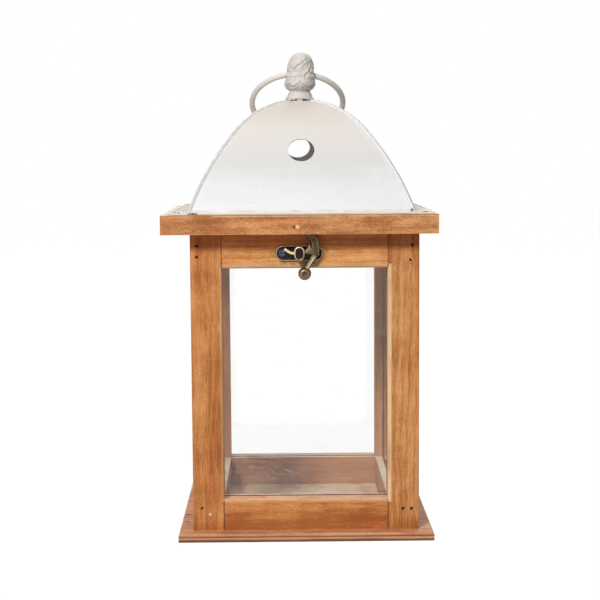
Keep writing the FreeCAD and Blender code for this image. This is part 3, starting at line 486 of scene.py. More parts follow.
def dress_wood():
    """Every board has its own grain, so no two look alike."""
    stile_woods = {}
    for index, (corner, tone, arris) in enumerate(STILES):
        hand = -1 if corner.endswith("left") else 1
        heart = (hand * (CASE_HALF + 26 + 7 * index), -CASE_HALF - 31 + 19 * index)
        figure, marks = (1.35, SCUFFS) if corner == "front_right" else (1.0, ())
        stile_woods[corner] = wood(f"stile_{corner}", "z", tones(*tone), heart, 0.012 * (index - 1.5),
                                   figure=figure, arris=arris, foot=(20, 6, 0.18), marks=marks)
        dress(f"post_{corner}", stile_woods[corner])
    for index, (level, side, tone, arris, darker) in enumerate(RAILS):
        along, heart = "x", (40 + 23 * index, 12 - 37 * index)
        if side in ("left", "right"):
            along, heart = "y", (-30 - 17 * index, 55 + 21 * index)
        rail = wood(f"rail_{level}_{side}", along, tones(*tone), heart, 0.013 * (index % 4 - 1.5),
                    arris=arris, foot=(26, 8, darker) if darker else None,
                    marks=PLATE_SHADOW_AND_STAIN if (level, side) == ("top", "front") else ())
        dress(f"{level}_rail_{side}", rail)
    for side, along, heart, slant in LIDS:
        board = wood(f"lid_board_{side}", along, tones(196, 130, 76), heart, slant, 6.5, 1.25,
                     marks=PIN_SCAR if side == "front" else (), dirt_and_shade=under_flange)
        dress(f"lid_{side}", board)
    dress("base_board", wood("base_ply", "x", tones(204, 146, 104), (30, 96), 0.01, 9.0, marks=KNOTS,
                             plies=PLIES))
    dress("rail_dowels", wood("dowel_beech", "x", tones(206, 168, 120), (9, 4)))
    bore_plugs(stile_woods)


# Metals and paint

FLAKED, GAP_SHADE, SHADE_AND_DIRT_SPOT = tint(112, 78, 54), tint(44, 32, 26), tint(40, 34, 30)


def enamel(name, shades, grime_and_shade, roughness, chips=0.0, foot=None, dark_spots=(), dirt_and_shade=None):
    """Matt paint on metal, with chips at the edges, and dirt and painted shade in its grooves and
    gaps. shades are its colours by how far the surface looks up, which paint light and shade by
    how the lamps fall as well as dust on upward faces. chips adds to the wear of its edges, foot
    is a height and reach of flaked paint, the dark spots are painted shade in notches and under
    nail heads and dirt with painted shadow round nails, and the last argument is a function that
    dirties the colour and may paint shade on it."""
    g = material_graph(name)
    place = g.place()
    x, y, z = g.split(place)
    cloud = g.noise(place, 0.045, 4.0, 0.6)
    brushed = g.noise(g.join(x * 0.012, y * 0.012, z * 0.13), 1.0, 3.0)
    # Colour by how far the surface looks up: painted light and shade by how the lamps fall, with dust on
    # upward faces.
    drift = g.facing()[2] * 0.5 + 0.5 + (cloud - 0.5) * 0.05 + (brushed - 0.5) * 0.05
    color = g.ramp(drift, shades)
    fine = g.noise(place, 0.7, 4.0, 0.65)
    color = g.mix(fine.band(0.54, 0.72) * 0.10, color, grime_and_shade)
    specks = g.cells(place, 0.13).band(0.10, 0.05) * g.noise(place, 0.06, 2.0).band(0.52, 0.60)
    color = g.mix(specks * 0.35, color, grime_and_shade)
    if dirt_and_shade:
        color = dirt_and_shade(g, place, color)
    # Dirt and painted shade in the cone's creases and pits, and painted shade on the right-hand seams.
    color = g.mix(g.note("groove") * 0.34, color, grime_and_shade)
    worn = g.edges(0.6 * MM, 0.05, 0.5) * g.noise(place, 0.35, 3.0).band(0.50, 0.62)
    color = g.mix(worn * (0.30 + chips), color, grime_and_shade)
    if foot:
        height, reach = foot
        flaked = g.noise(place, 0.50, 4.0, 0.65).band(0.45, 0.54)
        color = g.mix(z.near(height, reach, 0.4 * reach) * flaked * 0.85, color, FLAKED)
    # Painted shade in the cone's torn slits, under the cone on its right and in the ring's throat.
    color = g.mix(g.note("gap"), color, GAP_SHADE)
    # Dark spots: painted shade in notches and under nail heads, and dirt with painted shadow round the roof's
    # nails.
    color = spotted(g, place, color, dark_spots, SHADE_AND_DIRT_SPOT)
    relief = g.noise(place, 0.035, 2.0) + fine * 0.05
    return g.principled(Base_Color=color, Roughness=cloud * 0.12 + roughness,
                        Normal=g.bump(relief, 0.9 * MM, 0.30), Specular_IOR_Level=0.35)


def flange_dirt_and_shade(g, place, color):
    """Dust and smears on the roof's flange, its dark edge, and a painted shadow line along the foot of the
    dome.
    """
    x, y, z = g.split(place)
    out = g.most(abs(x - ROOF_X), abs(y))
    edge = out.band(FLANGE_HALF - 0.5, FLANGE_HALF - 0.2) * z.band(LID_TOP + 0.55, LID_TOP + 0.40)
    color = g.mix(edge * 0.60, color, SOIL_AND_SHADE)
    # A painted shadow line along the foot of the dome, where it meets the flange.
    foot_shadow_line = z.near(LID_TOP + 2.0, 0.8, 0.3) * g.noise(place, 0.10, 3.0).band(0.30, 0.60)
    color = g.mix(foot_shadow_line * 0.30, color, tint(160, 136, 112))
    on_flange = out.band(DOME_HALF - 1.5, DOME_HALF + 1.5) * z.band(LID_TOP + 2.5, LID_TOP + 1.0)
    color = g.mix(on_flange * 0.24, color, tint(186, 166, 148))
    smear = g.noise(place, 0.11, 5.0, 0.7).band(0.46, 0.64)
    return g.mix(on_flange * smear * 0.56, color, tint(150, 112, 82))


def bronze():
    """Dark plating, rubbed bright on its edges, and brightened on ridges, rims and where fingers
    reach by painted highlights with rubbing.
    """
    g = material_graph("aged_bronze")
    place = g.place()
    cloud = g.noise(place, 0.50, 4.0, 0.6)
    grain = g.noise(place, 1.7, 3.0, 0.6)
    edge = g.edges(0.35 * MM, 0.06, 0.45) * cloud.band(0.30, 0.50)
    rubbed_and_highlit = g.note("rub_and_highlight") * (grain.band(0.30, 0.62) * 0.28 + 0.72)
    rub_and_highlight = g.most(edge * 0.55, rubbed_and_highlit)
    color = g.ramp(cloud, [(0.28, tint(50, 40, 33)), (0.52, tint(84, 68, 53)), (0.76, tint(118, 98, 74))])
    # The bright colour is rubbed metal and painted highlight.
    color = g.mix(rub_and_highlight, color, tint(242, 220, 176))
    return g.principled(Base_Color=color, Metallic=0.92, Roughness=cloud * 0.20 + 0.34 - rub_and_highlight * 0.12,
                        Normal=g.bump(grain, 0.10 * MM, 0.5))


def dark_bronze():
    """The unrubbed hollows of the latch plate, glossy as old lacquer; also laid on the plate's
    outer wall, as painted shade.
    """
    g = material_graph("dark_bronze")
    place = g.place()
    cloud = g.noise(place, 0.6, 4.0, 0.6)
    color = g.ramp(cloud, [(0.3, tint(18, 15, 16)), (0.7, tint(52, 38, 30))])
    return g.principled(Base_Color=color, Metallic=0.75, Roughness=cloud * 0.2 + 0.24,
                        Normal=g.bump(g.noise(place, 1.4, 3.0), 0.12 * MM, 0.5))


def steel(name, shade, bright, roughness, rust=0.0):
    """Cloudy metal between two colours, with a share of brown stains."""
    g = material_graph(name)
    place = g.place()
    cloud = g.noise(place, 0.7, 4.0, 0.6)
    color = g.mix(cloud.band(0.35, 0.65), shade, bright)
    color = g.mix(g.noise(place, 0.5, 3.0).band(0.48, 0.62) * rust, color, tint(92, 56, 38))
    return g.principled(Base_Color=color, Metallic=0.85, Roughness=cloud * 0.15 + roughness,
                        Normal=g.bump(g.noise(place, 1.8, 3.0), 0.08 * MM, 0.5))


GLASS_INDEX = 1.45
# Where dust has gathered most on the front pane: its place along the pane and its height.
DUST_SPOT = (-94.0, 46.0)


def glass():
    """A clear pane with a film of dust, specks and wiped arcs, and dots of dust on the front one."""
    g = material_graph("window_glass")
    x, y, z = g.split(g.place())
    along = x + y
    flat = g.join(along, 0.0, z)
    film = g.noise(flat, 0.03, 4.0, 0.6).band(0.30, 0.80)
    low_down = z.band(WINDOW_LOW + 62, WINDOW_LOW - 8)
    specks = g.cells(flat, 0.42).band(0.085, 0.045) * g.noise(flat, 0.07, 2.0).band(0.50, 0.60)
    waves = {"Vector": flat, "Scale": 0.014, "Distortion": 5.0, "Detail": 3.0, "Detail Scale": 1.2}
    wiped = g.get("TexWave", waves, "Fac", wave_type="RINGS")
    arcs = wiped.band(0.86, 0.97) * g.noise(flat, 0.04, 2.0).band(0.48, 0.62)
    apart = g.length(along - DUST_SPOT[0], (z - DUST_SPOT[1]) * 2.4)
    fallen = apart.band(44, 6) * 0.62 + z.band(WINDOW_LOW + 24, WINDOW_LOW + 12) * 0.14
    fallen *= y.band(3.0 - FRONT_PANE, 1.5 - FRONT_PANE)
    upright = g.join(along, z, 0.0)
    fallen *= g.dots(upright, 0.62, 0.36, 0.11) + g.dots(upright, 1.25, 0.44, 0.34) * 0.55
    dust = film * 0.003 + low_down * 0.004 + fallen * 0.85 + specks * 0.30 + arcs * 0.020 + 0.0005
    clear = g.get("BsdfTransparent", {"Color": (0.998, 1.0, 0.999, 1.0)})
    shine = g.get("BsdfGlossy", {"Color": WHITE, "Roughness": 0.03})
    # Light leaves the pane unbent, so both of its faces mirror as they do from outside.
    leaving = g.get("NewGeometry", output="Backfacing")
    index = leaving * (1 / GLASS_INDEX - GLASS_INDEX) + GLASS_INDEX
    pane = g.blend(g.get("Fresnel", {"IOR": index}), clear, shine)
    powder = g.get("BsdfDiffuse", {"Color": tint(238, 232, 226)})
    return g.show(g.blend(dust, pane, powder))


# Meshes

def clamp(value, least=0.0, most=1.0):
    return min(max(value, least), most)


def ease(value):
    """0 below 0 and 1 above 1, with a smooth step between."""
    value = clamp(value)
    return value * value * (3 - 2 * value)


def wrap(angle):
    """The same angle, within half a turn of 0."""
    return (angle + pi) % (2 * pi) - pi


def circle(count):
    """Angles evenly round a turn."""
    return [2 * pi * step / count for step in range(count)]


def heading(line, index):
    """The direction of a line of points at one of them."""
    return (line[min(index + 1, len(line) - 1)] - line[max(index - 1, 0)]).normalized()


def add_object(name, data):
    thing = bpy.data.objects.new(name, data)
    bpy.context.scene.collection.objects.link(thing)
    return thing


def piece(name, vertices, faces, materials, body, replaced=(), notes=None):
    """A new piece of the lantern, riding on a CAD body. Its vertices are in millimetres, and
    notes holds a number for each of them under a name that its material reads."""
    mesh = bpy.data.meshes.new(name)
    mesh.from_pydata([tuple(Vector(vertex) * MM) for vertex in vertices], [], faces)
    mesh.validate()
    mesh.update()
    for polygon in mesh.polygons:
        polygon.use_smooth = True
    for key, values in (notes or {}).items():
        mesh.attributes.new(key, "FLOAT", "POINT").data.foreach_set("value", values)
    thing = add_object(name, mesh)
    for material in materials:
        mesh.materials.append(material)
    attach(thing, body)
    if replaced:
        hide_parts(*replaced)
    return thing


def tube_faces(rings, around, first=0, closed=True):
    """Faces between rings of vertices that follow each other, and over both ends if closed."""
    faces = []
    for ring in range(rings - 1):
        start = first + ring * around
        for step in range(around):
            a, b = start + step, start + (step + 1) % around
            faces.append((a, b, b + around, a + around))
    if closed:
        last = first + (rings - 1) * around
        faces.append(tuple(reversed(range(first, first + around))))
        faces.append(tuple(range(last, last + around)))
    return faces


def dome_profile(steps):
    """Points of the roof's section, out and up, from the crown down to the flange."""
    crown_up = DOME_RISE - CROWN_RADIUS
    joint_out = CROWN_RADIUS * sin(CROWN_ANGLE)
    joint_up = crown_up + CROWN_RADIUS * cos(CROWN_ANGLE)
    run, drop = DOME_HALF - joint_out, joint_up - SHEET
    half_turn = atan2(drop, run) - CROWN_ANGLE
    wall = hypot(run, drop) / (2 * sin(half_turn))
    wall_out, wall_up = joint_out - wall * sin(CROWN_ANGLE), joint_up - wall * cos(CROWN_ANGLE)
    crown_long, wall_long = CROWN_RADIUS * CROWN_ANGLE, wall * 2 * half_turn
    points = []
    for step in range(steps + 1):
        along = (crown_long + wall_long) * step / steps
        if along < crown_long:
            angle = along / CROWN_RADIUS
            points.append((CROWN_RADIUS * sin(angle), crown_up + CROWN_RADIUS * cos(angle)))
        else:
            angle = CROWN_ANGLE + (along - crown_long) / wall
            points.append((wall_out + wall * sin(angle), wall_up + wall * cos(angle)))
    return points


PROFILE_STEPS = 420
SEAM_HEIGHT, CRIMP_PITCH, CRIMP_SWAY, CRIMP_LIFT = 0.98, 6.8, 0.12, 0.42
# One half of a seam's section: place across it, share of its height, and share of the fall
# of the roof beside the hip.
SEAM_HALF = ((1.35, -0.35, 1.35), (1.25, -0.10, 1.25), (1.05, 0.15, 0.80), (0.85, 0.45, 0.30),
             (0.60, 0.84, 0.0), (0.35, 0.98, 0.0))
SEAM_START, CRIMPS_UNTIL, CRIMPS_FADE, CRIMPS_LEAST = 12.6, 112.0, 50.0, 0.15
# The seams on the left are less crimped, and only those on the right take painted shade.
LEFT_CRIMPS, RIGHT_SEAM_SHADE = 0.6, 0.70


def hip_seams(paint):
    """The folded and crimped seams along the four hips."""
    profile = [(out, up) for out, up in dome_profile(PROFILE_STEPS) if out * sqrt(2) > SEAM_START]
    vertices, faces, groove = [], [], []
    section = [(-side, share, fall) for side, share, fall in SEAM_HALF] + [(0.0, 1.0, 0.0)]
    section += reversed(SEAM_HALF)
    for hand_x, hand_y in ((1, 1), (-1, 1), (-1, -1), (1, -1)):
        line = [Vector((ROOF_X + hand_x * out, hand_y * out, LID_TOP + up)) for out, up in profile]
        faces += tube_faces(len(line), len(section), first=len(vertices))
        across = Vector((hand_y, -hand_x, 0)).normalized()
        crimps, grime_and_shade = (1.0, RIGHT_SEAM_SHADE) if hand_x > 0 else (LEFT_CRIMPS, 0.0)
        travelled = 0.0
        for index, point in enumerate(line):
            along = heading(line, index)
            outward = across.cross(along)
            if outward.z < 0:
                outward = -outward
            travelled += (point - line[max(index - 1, 0)]).length
            turn = 2 * pi * travelled / CRIMP_PITCH + hand_x
            fade = clamp((CRIMPS_UNTIL - travelled) / CRIMPS_FADE, CRIMPS_LEAST)
            uneven = noise.noise(Vector((travelled * 0.11, hand_x * 7, hand_y * 5)))
            sway = CRIMP_SWAY * fade * sin(turn / 2 + 0.6) + 0.06 * uneven
            crimp = fade * CRIMP_LIFT * (0.5 + 0.5 * sin(turn) + 0.8 * uneven)
            lift = SEAM_HEIGHT + max(crimp, 0.0) * crimps
            for side, share, fall in section:
                rise = share * lift - fall * abs(along.z)
                vertices.append(point + across * (side + sway) + outward * rise)
                groove.append(grime_and_shade)
    return piece("hip_seams", vertices, faces, [paint], "lid", notes={"groove": groove})


HEM_INSET, HEM_WIDE, HEM_GAP, HEM_CORNER = 0.3, 1.5, 0.10, 2.2
HEM_STRAIGHT, HEM_ARC, HEM_AROUND = 60, 8, 16
# Height of the hem at the middle of each side, and at the corner that ends it, from the
# front on counterclockwise as seen from above, and the share of a side that eases between.
HEM_HEIGHTS = ((1.38, 1.12), (1.20, 1.16), (1.32, 1.16), (1.20, 1.16))
HEM_EASE = 0.12


def hem_line():
    """The line of the hem round the roof's middle: its points and its height at each."""
    reach = FLANGE_HALF - HEM_INSET
    middle = reach - HEM_CORNER
    line = []
    for side, (centre_height, end_height) in enumerate(HEM_HEIGHTS):
        turn = side * pi / 2
        along = Vector((cos(turn), sin(turn)))
        out = Vector((sin(turn), -cos(turn)))
        start_height = HEM_HEIGHTS[side - 1][1]
        for step in range(HEM_STRAIGHT):
            share = step / HEM_STRAIGHT
            height = centre_height + (start_height - centre_height) * ease(1 - share / HEM_EASE)
            height += (end_height - centre_height) * ease((share - 1 + HEM_EASE) / HEM_EASE)
            line.append((out * reach + along * (middle * (2 * share - 1)), height))
        centre = out * middle + along * middle
        for step in range(HEM_ARC):
            angle = pi / 2 * step / HEM_ARC
            line.append((centre + (out * cos(angle) + along * sin(angle)) * HEM_CORNER, end_height))
    return line


def flange_hem(paint):
    """The folded edge of the roof's flange, uneven as sheet is, with a gap under it."""
    line = hem_line()
    section = [[copysign(abs(value) ** 0.5, value) for value in (cos(angle), sin(angle))]
               for angle in circle(HEM_AROUND)]
    vertices = []
    for index, (point, height) in enumerate(line):
        along = (line[(index + 1) % len(line)][0] - line[index - 1][0]).normalized()
        out = Vector((along.y, -along.x))
        wave = noise.noise(Vector((point.x * 0.06, point.y * 0.06, 3.0)))
        height *= 1 + 0.10 * noise.noise(Vector((point.x * 0.22, point.y * 0.22, 8.0)))
        base = LID_TOP + HEM_GAP * (1 + 0.5 * wave)
        for wide, tall in section:
            spot = point + out * (HEM_WIDE / 2 * wide + 0.25 * wave)
            vertices.append((ROOF_X + spot.x, spot.y, base + height / 2 * (1 + tall)))
    faces = tube_faces(len(line), HEM_AROUND, closed=False)
    last = (len(line) - 1) * HEM_AROUND
    for step in range(HEM_AROUND):
        following = (step + 1) % HEM_AROUND
        faces.append((last + step, last + following, following, step))
    return piece("flange_hem", vertices, faces, [paint], "lid")


# The cone: its outline as shares of its height and radius, and its neck and foot as heights
# above the underside of the crown and radii.
CONE_LOW, CONE_TALL, CONE_RADIUS, CONE_LEAN = 7.8, 28.2, 11.4, 1.1
CONE_OUTLINE = ((0.000, 0.64), (0.026, 0.715), (0.060, 0.83), (0.102, 0.912), (0.150, 0.965), (0.198, 0.985),
                (0.270, 0.982), (0.342, 0.967), (0.450, 0.925), (0.603, 0.86), (0.700, 0.82), (0.778, 0.774),
                (0.840, 0.69), (0.885, 0.61), (0.930, 0.50), (0.960, 0.38), (0.980, 0.27), (0.993, 0.15),
                (1.0, 0.0))
NECK = ((-2.4, 12.2), (-1.0, 12.6), (-0.4, 12.3), (0.3, 11.8), (0.9, 11.3), (1.7, 10.7), (2.8, 9.9),
        (4.5, 9.05), (5.6, 8.6), (6.6, 8.1), (7.6, 7.3))
FINIAL_AROUND, NECK_STEPS, CONE_STEPS = 160, 46, 120
# The power that sets the cone's rows a little closer towards its tip.
CONE_SPREAD = 0.92
# Torn slits in the foot: turn from the front, height, half width and half height.
SLITS = ((-0.40, 0.55, 0.17, 0.46), (0.36, 0.80, 0.30, 0.58), (2.6, 0.7, 0.30, 0.55), (-2.2, 0.8, 0.22, 0.5))
SLIT_DEEP = 1.0
RING_RISE, RING_RADIUS, WIRE_RADIUS, THROAT_GAP, THROAT_REACH = 20.3, 34.3, 2.1, 0.08, 5.0
# Creases between the scales on one third of the cone: a depth, then places as a turn from the
# middle of that third and a share of the height. The other two thirds bear them mirrored.
CREASES = (
    (1.00, (0.62, 0.86), (0.38, 0.77), (0.03, 0.68), (-0.29, 0.62), (-0.55, 0.52)),
    (1.00, (1.10, 0.76), (0.98, 0.66), (0.84, 0.55), (0.62, 0.47), (0.45, 0.42), (0.35, 0.35), (0.33, 0.26)),
    (0.60, (0.62, 0.82), (1.00, 0.73), (1.35, 0.69)),
    (1.00, (-1.40, 0.16), (-0.88, 0.10), (-0.45, 0.09), (-0.19, 0.14), (-0.02, 0.21)),
    (0.90, (0.20, 0.17), (0.38, 0.11), (0.72, 0.08), (1.20, 0.12)),
    (0.80, (0.04, 0.21), (-0.10, 0.05)),
    (0.80, (0.07, 0.21), (0.26, 0.05)),
    (0.45, (-1.20, 0.34), (-0.50, 0.33), (0.08, 0.35)),
    (0.35, (-1.20, 0.47), (-0.60, 0.48), (-0.10, 0.46)),
    (0.50, (0.33, 0.26), (0.70, 0.30), (1.30, 0.26)),
    (0.50, (0.62, 0.47), (0.95, 0.42), (1.40, 0.44)),
    (0.50, (-0.55, 0.52), (-0.95, 0.60), (-1.20, 0.70)),
)
CREASE_DEEP, CREASE_WIDE, CREASE_SPAN, SWELL, SWELL_WIDE = 0.85, 0.78, 1.9, 0.50, 2.3
MEAN_RADIUS = 10.2


def blend_through(points, position):
    """The value at a position on a line through (position, value) pairs."""
    for (start, first), (end, second) in zip(points, points[1:]):
        if position <= end:
            return first + (second - first) * (position - start) / (end - start)
    return points[-1][1]


def crease_lines():
    """The creases on the unrolled cone in millimetres: depth, middle, and pieces of line."""
    lines = []
    for third in range(3):
        hand = 1 if third == 0 else -1
        middle = -pi / 2 + third * 2 * pi / 3
        for depth, *places in CREASES:
            spots = [Vector((hand * turn * MEAN_RADIUS, share * CONE_TALL)) for turn, share in places]
            lines.append((depth, middle, list(zip(spots, spots[1:]))))
    return lines


def cone_relief(lines, turn, share):
    """How deep a place on the cone lies in a crease, and how much it swells beside one."""
    deepest = swell = 0.0
    for depth, middle, parts in lines:
        apart = wrap(turn - middle)
        if abs(apart) > CREASE_SPAN:
            continue
        spot = Vector((apart * MEAN_RADIUS, share * CONE_TALL))
        distances = []
        for start, end in parts:
            run = end - start
            reach = clamp((spot - start).dot(run) / run.length_squared)
            distances.append((spot - start - run * reach).length)
        nearest = min(distances)
        deepest = max(deepest, depth * exp(-(nearest / CREASE_WIDE) ** 2))
        swell = max(swell, depth * exp(-(nearest / SWELL_WIDE) ** 2))
    return deepest, swell


def round_noise(turn, radius, height):
    """Noise round a cylinder, so that it meets itself after a turn."""
    return noise.noise(Vector((cos(turn) * radius, sin(turn) * radius, height)))


def neck_spot(turn, height):
    """Radius, dirt with painted shade in pits and slits, and painted shadow in the slits and under
    the cone on its right, at a place on the neck and its torn foot.
    """
    lump, pitted = round_noise(turn, 1.5, height * 0.35 + 5), round_noise(turn, 5, height * 0.9)
    from_front = turn + pi / 2
    torn = 0.0
    for side, level, half, tall in SLITS:
        inside = hypot(wrap(from_front - side) / half, (height - level - 0.35 * pitted) / tall)
        torn = max(torn, ease((1.15 - inside) / 0.45))
    radius = blend_through(NECK, height) + 0.26 * lump + 0.22 * pitted - SLIT_DEEP * torn
    # Painted shadow under the cone on the neck's right side.
    under = ease(height - 6.2) * max(0.0, cos(from_front - 0.75))
    return radius, min(1.0, 0.5 * max(0.0, -pitted) + 0.3 * torn), min(0.90, 0.84 * torn + 0.40 * under)


def cone_spot(lines, turn, share):
    """Radius, and dirt with painted shade in creases and pits, at a place on the cone."""
    crease, swell = cone_relief(lines, turn, share)
    lump, pitted = round_noise(turn, 1.7, share * 5.0 + 2), round_noise(turn, 4, share * 10)
    outline = blend_through(CONE_OUTLINE, share) * CONE_RADIUS
    stand = SWELL * swell - CREASE_DEEP * crease + 0.80 * lump + 0.30 * pitted
    radius = max(outline + min(1.0, outline / 5.0) * stand, 0.0)
    return radius, min(1.0, 0.6 * crease + 0.7 * max(0.0, -pitted))


def finial_piece(paint):
    """The cast cone with its neck and its ragged flared foot, hollowed where the ring goes in."""
    crown = LID_TOP + DOME_RISE - SHEET
    inner = RING_RADIUS - WIRE_RADIUS - THROAT_GAP
    lines, turns = crease_lines(), circle(FINIAL_AROUND)
    vertices, groove, gap = [], [], []
    for row in range(NECK_STEPS):
        height = NECK[0][0] + (NECK[-1][0] - NECK[0][0]) * row / (NECK_STEPS - 1)
        for turn in turns:
            radius, grime_and_shade, shadow = neck_spot(turn, height)
            vertices.append((ROOF_X + radius * cos(turn), radius * sin(turn), crown + height))
            groove.append(grime_and_shade)
            gap.append(shadow)
    for row in range(CONE_STEPS):
        share = (row / (CONE_STEPS - 1)) ** CONE_SPREAD
        rise = CONE_LOW + share * CONE_TALL
        for turn in turns:
            radius, grime_and_shade = cone_spot(lines, turn, share)
            x, y = radius * cos(turn), radius * sin(turn)
            # Painted shade in the hollow where the ring goes in.
            shadow = 0.0
            reach = hypot(y, rise - RING_RISE)
            if reach < THROAT_REACH:
                side = sqrt(max(inner ** 2 - (RING_RADIUS - reach) ** 2, 1.0))
                if abs(x) > side:
                    x, shadow = copysign(side, x), 0.6
            vertices.append((ROOF_X + x + CONE_LEAN * share, y, crown + rise))
            groove.append(grime_and_shade)
            gap.append(shadow)
    faces = tube_faces(NECK_STEPS + CONE_STEPS, FINIAL_AROUND)
    return piece("cone_finial", vertices, faces, [paint], "lid", ["finial"],
                 {"groove": groove, "gap": gap})


# The latch

HORN_DROP = 32.7
# Stations down the horn, as shares of its drop: across, down and half width.
HORN_SHARES = ((0.000, 0.000, 0.064), (0.165, 0.078, 0.070), (0.302, 0.192, 0.080), (0.360, 0.330, 0.082),
               (0.380, 0.480, 0.080), (0.370, 0.590, 0.072), (0.310, 0.690, 0.064), (0.225, 0.825, 0.060),
               (0.147, 0.960, 0.058))
HORN_THICK, TINE_RADIUS, KNOB_RADIUS = 3.4, 1.2, 4.5
HORN_STEPS, HORN_AROUND, TINE_STEPS, TINE_AROUND, HUB_AROUND = 70, 40, 50, 24, 36
TINE_TIP, TINE_ROOT = radians(-27.5), radians(33.0)
# The hub's section along its pin: offset and radius.
HUB = ((1.7, 3.1), (1.5, 3.4), (-1.5, 3.4), (-1.7, 3.1))
PIVOT = Vector((PIN.x, HORN.y, PIN.z))
TINE_SWEEP = PIVOT.z - KEEPER.z
BALL_STEPS, BALL_AROUND, DIMPLE_SPAN = 24, 36, 0.62


def smooth_line(points, count):
    """Points evenly spread on a smooth curve through the given ones."""
    result = []
    spans = len(points) - 1
    for step in range(count):
        place = spans * step / (count - 1)
        index = min(int(place), spans - 1)
        share = place - index
        p0, p1 = points[max(index - 1, 0)], points[index]
        p2, p3 = points[index + 1], points[min(index + 2, spans)]
        result.append(0.5 * ((2 * p1) + (p2 - p0) * share + (2 * p0 - 5 * p1 + 4 * p2 - p3) * share ** 2
                             + (3 * p1 - p0 - 3 * p2 + p3) * share ** 3))
    return result


class Casting:
    """Collects the tubes and knobs of one cast piece, each vertex with its rubbing and painted
    highlight.
    """

    def __init__(self):
        self.vertices, self.faces, self.rub_and_highlight = [], [], []

    def rings(self, rings):
        """Adds rings of (point, rubbing and painted highlight) pairs, each ring as long as the others."""
        self.faces += tube_faces(len(rings), len(rings[0]), first=len(self.vertices))
        for ring in rings:
            for point, rub_and_highlight in ring:
                self.vertices.append(point)
                self.rub_and_highlight.append(clamp(rub_and_highlight))

    def tube(self, line, around, shape):
        """shape(index, angle) gives the reach across, the reach towards -Y, and the rubbing and painted
        highlight.
        """
        front = Vector((0, -1, 0))
        rings = []
        for index, point in enumerate(line):
            side = front.cross(heading(line, index)).normalized()
            ring = []
            for angle in circle(around):
                across, forward, rub_and_highlight = shape(index, angle)
                ring.append((point + side * across + front * forward, rub_and_highlight))
            rings.append(ring)
        self.rings(rings)

    def ball(self, centre, radius, flat, dimple, shade):
        """A round knob with a shallow dimple at its front; shade(angle, turn) gives its rubbing and
        painted highlight.
        """
        rings = []
        for index in range(BALL_STEPS + 1):
            angle = pi * index / BALL_STEPS
            wide, forward = radius * sin(angle), radius * cos(angle) * flat
            if angle < DIMPLE_SPAN:
                forward -= dimple * (1 + cos(pi * angle / DIMPLE_SPAN)) / 2
            rings.append([(centre + Vector((wide * cos(turn), -forward, wide * sin(turn))),
                           shade(angle, turn)) for turn in circle(BALL_AROUND)])
        self.rings(rings)


def hump(value, middle, width):
    return exp(-((value - middle) / width) ** 2)


def knob_highlight(angle, turn):
    """Painted highlights on the knob: its bright rim, brightest above, and the edge of its dimple."""
    rim = 0.34 * hump(angle, 1.05, 0.28) * (0.55 - 0.45 * sin(turn + 0.5))
    return rim + 0.20 * hump(angle, DIMPLE_SPAN, 0.16)


def horn_piece(metal):
    """The swinging horn, with its hub, ridged neck, tapering tine, handle and knob."""
    horn = Casting()
    stations = smooth_line([Vector((across, half, -down)) * HORN_DROP for across, down, half in HORN_SHARES],
                           HORN_STEPS)

    def neck(index, angle):
        half = stations[index].y
        thick = min(HORN_THICK / 2, half * 0.98)
        share = index / (HORN_STEPS - 1)
        upper, handle = ease((0.66 - share) / 0.14), ease((share - 0.62) / 0.12)
        cosine, sine = cos(angle), sin(angle)
        fluted = 1.0 - 0.22 * upper * sin(pi * min(share / 0.66, 1.0)) * hump(sine, 1.0, 0.12)
        # Painted highlights, with rubbing: streaks along the neck's edges and a strip down the handle.
        sides = 0.50 * hump(cosine, 0.80, 0.14) + 0.24 * hump(cosine, -0.80, 0.12)
        strip = 0.95 * hump(cosine, 0.22, 0.30) + 0.25 * hump(cosine, -0.75, 0.2)
        return half * cosine, thick * sine * fluted, max(sine, 0.0) * (upper * sides + handle * strip)

    def tine(index, angle):
        share = index / (TINE_STEPS - 1)
        radius = TINE_RADIUS * (0.98 + 0.10 * min(share / 0.25, 1.0))
        if share > 0.68:
            radius += 3.9 * ((share - 0.68) / 0.32) ** 1.3
        lit = 0.86 * ease((0.74 - share) / 0.12) + 0.08
        rub_and_highlight = lit * (0.55 + 0.45 * hump(cos(angle), -0.1, 0.55)) * max(0.2, sin(angle) + 0.35)
        return radius * cos(angle), min(radius, HORN_THICK / 2) * sin(angle), rub_and_highlight

    horn.tube([PIVOT + Vector((station.x, 0, station.z)) for station in stations], HORN_AROUND, neck)
    arc = []
    for step in range(TINE_STEPS):
        share = step / (TINE_STEPS - 1)
        angle = TINE_TIP + (TINE_ROOT - TINE_TIP) * share
        curl = 0.7 * ease(1 - share / 0.22)
        arc.append(PIVOT + Vector((sin(angle), 0, -cos(angle))) * (TINE_SWEEP - curl))
    horn.tube(arc, TINE_AROUND, tine)
    horn.ball(arc[0], TINE_RADIUS * 1.06, 1.0, 0.0, lambda angle, turn: 0.85)
    knob = PIVOT + Vector((HORN_SHARES[-1][0], 0, -1)) * HORN_DROP
    horn.ball(knob, KNOB_RADIUS, 0.86, 0.75, knob_highlight)
    horn.rings([[(PIVOT + Vector((radius * cos(angle), offset, radius * sin(angle))), 0.0)
                 for angle in circle(HUB_AROUND)] for offset, radius in HUB])
    return piece("horn_latch", horn.vertices, horn.faces, [metal], "horn", ["latch_horn"],
                 {"rub_and_highlight": horn.rub_and_highlight})


PLATE_LONG, PLATE_TALL, PLATE_THICK, EYE_WIDE, EYE_TALL, EYE_REACH = 32.6, 10.8, 1.5, 7.0, 9.6, 6.6
PLATE_AROUND = 72
EYE_TOP = PLATE_THICK + EYE_REACH
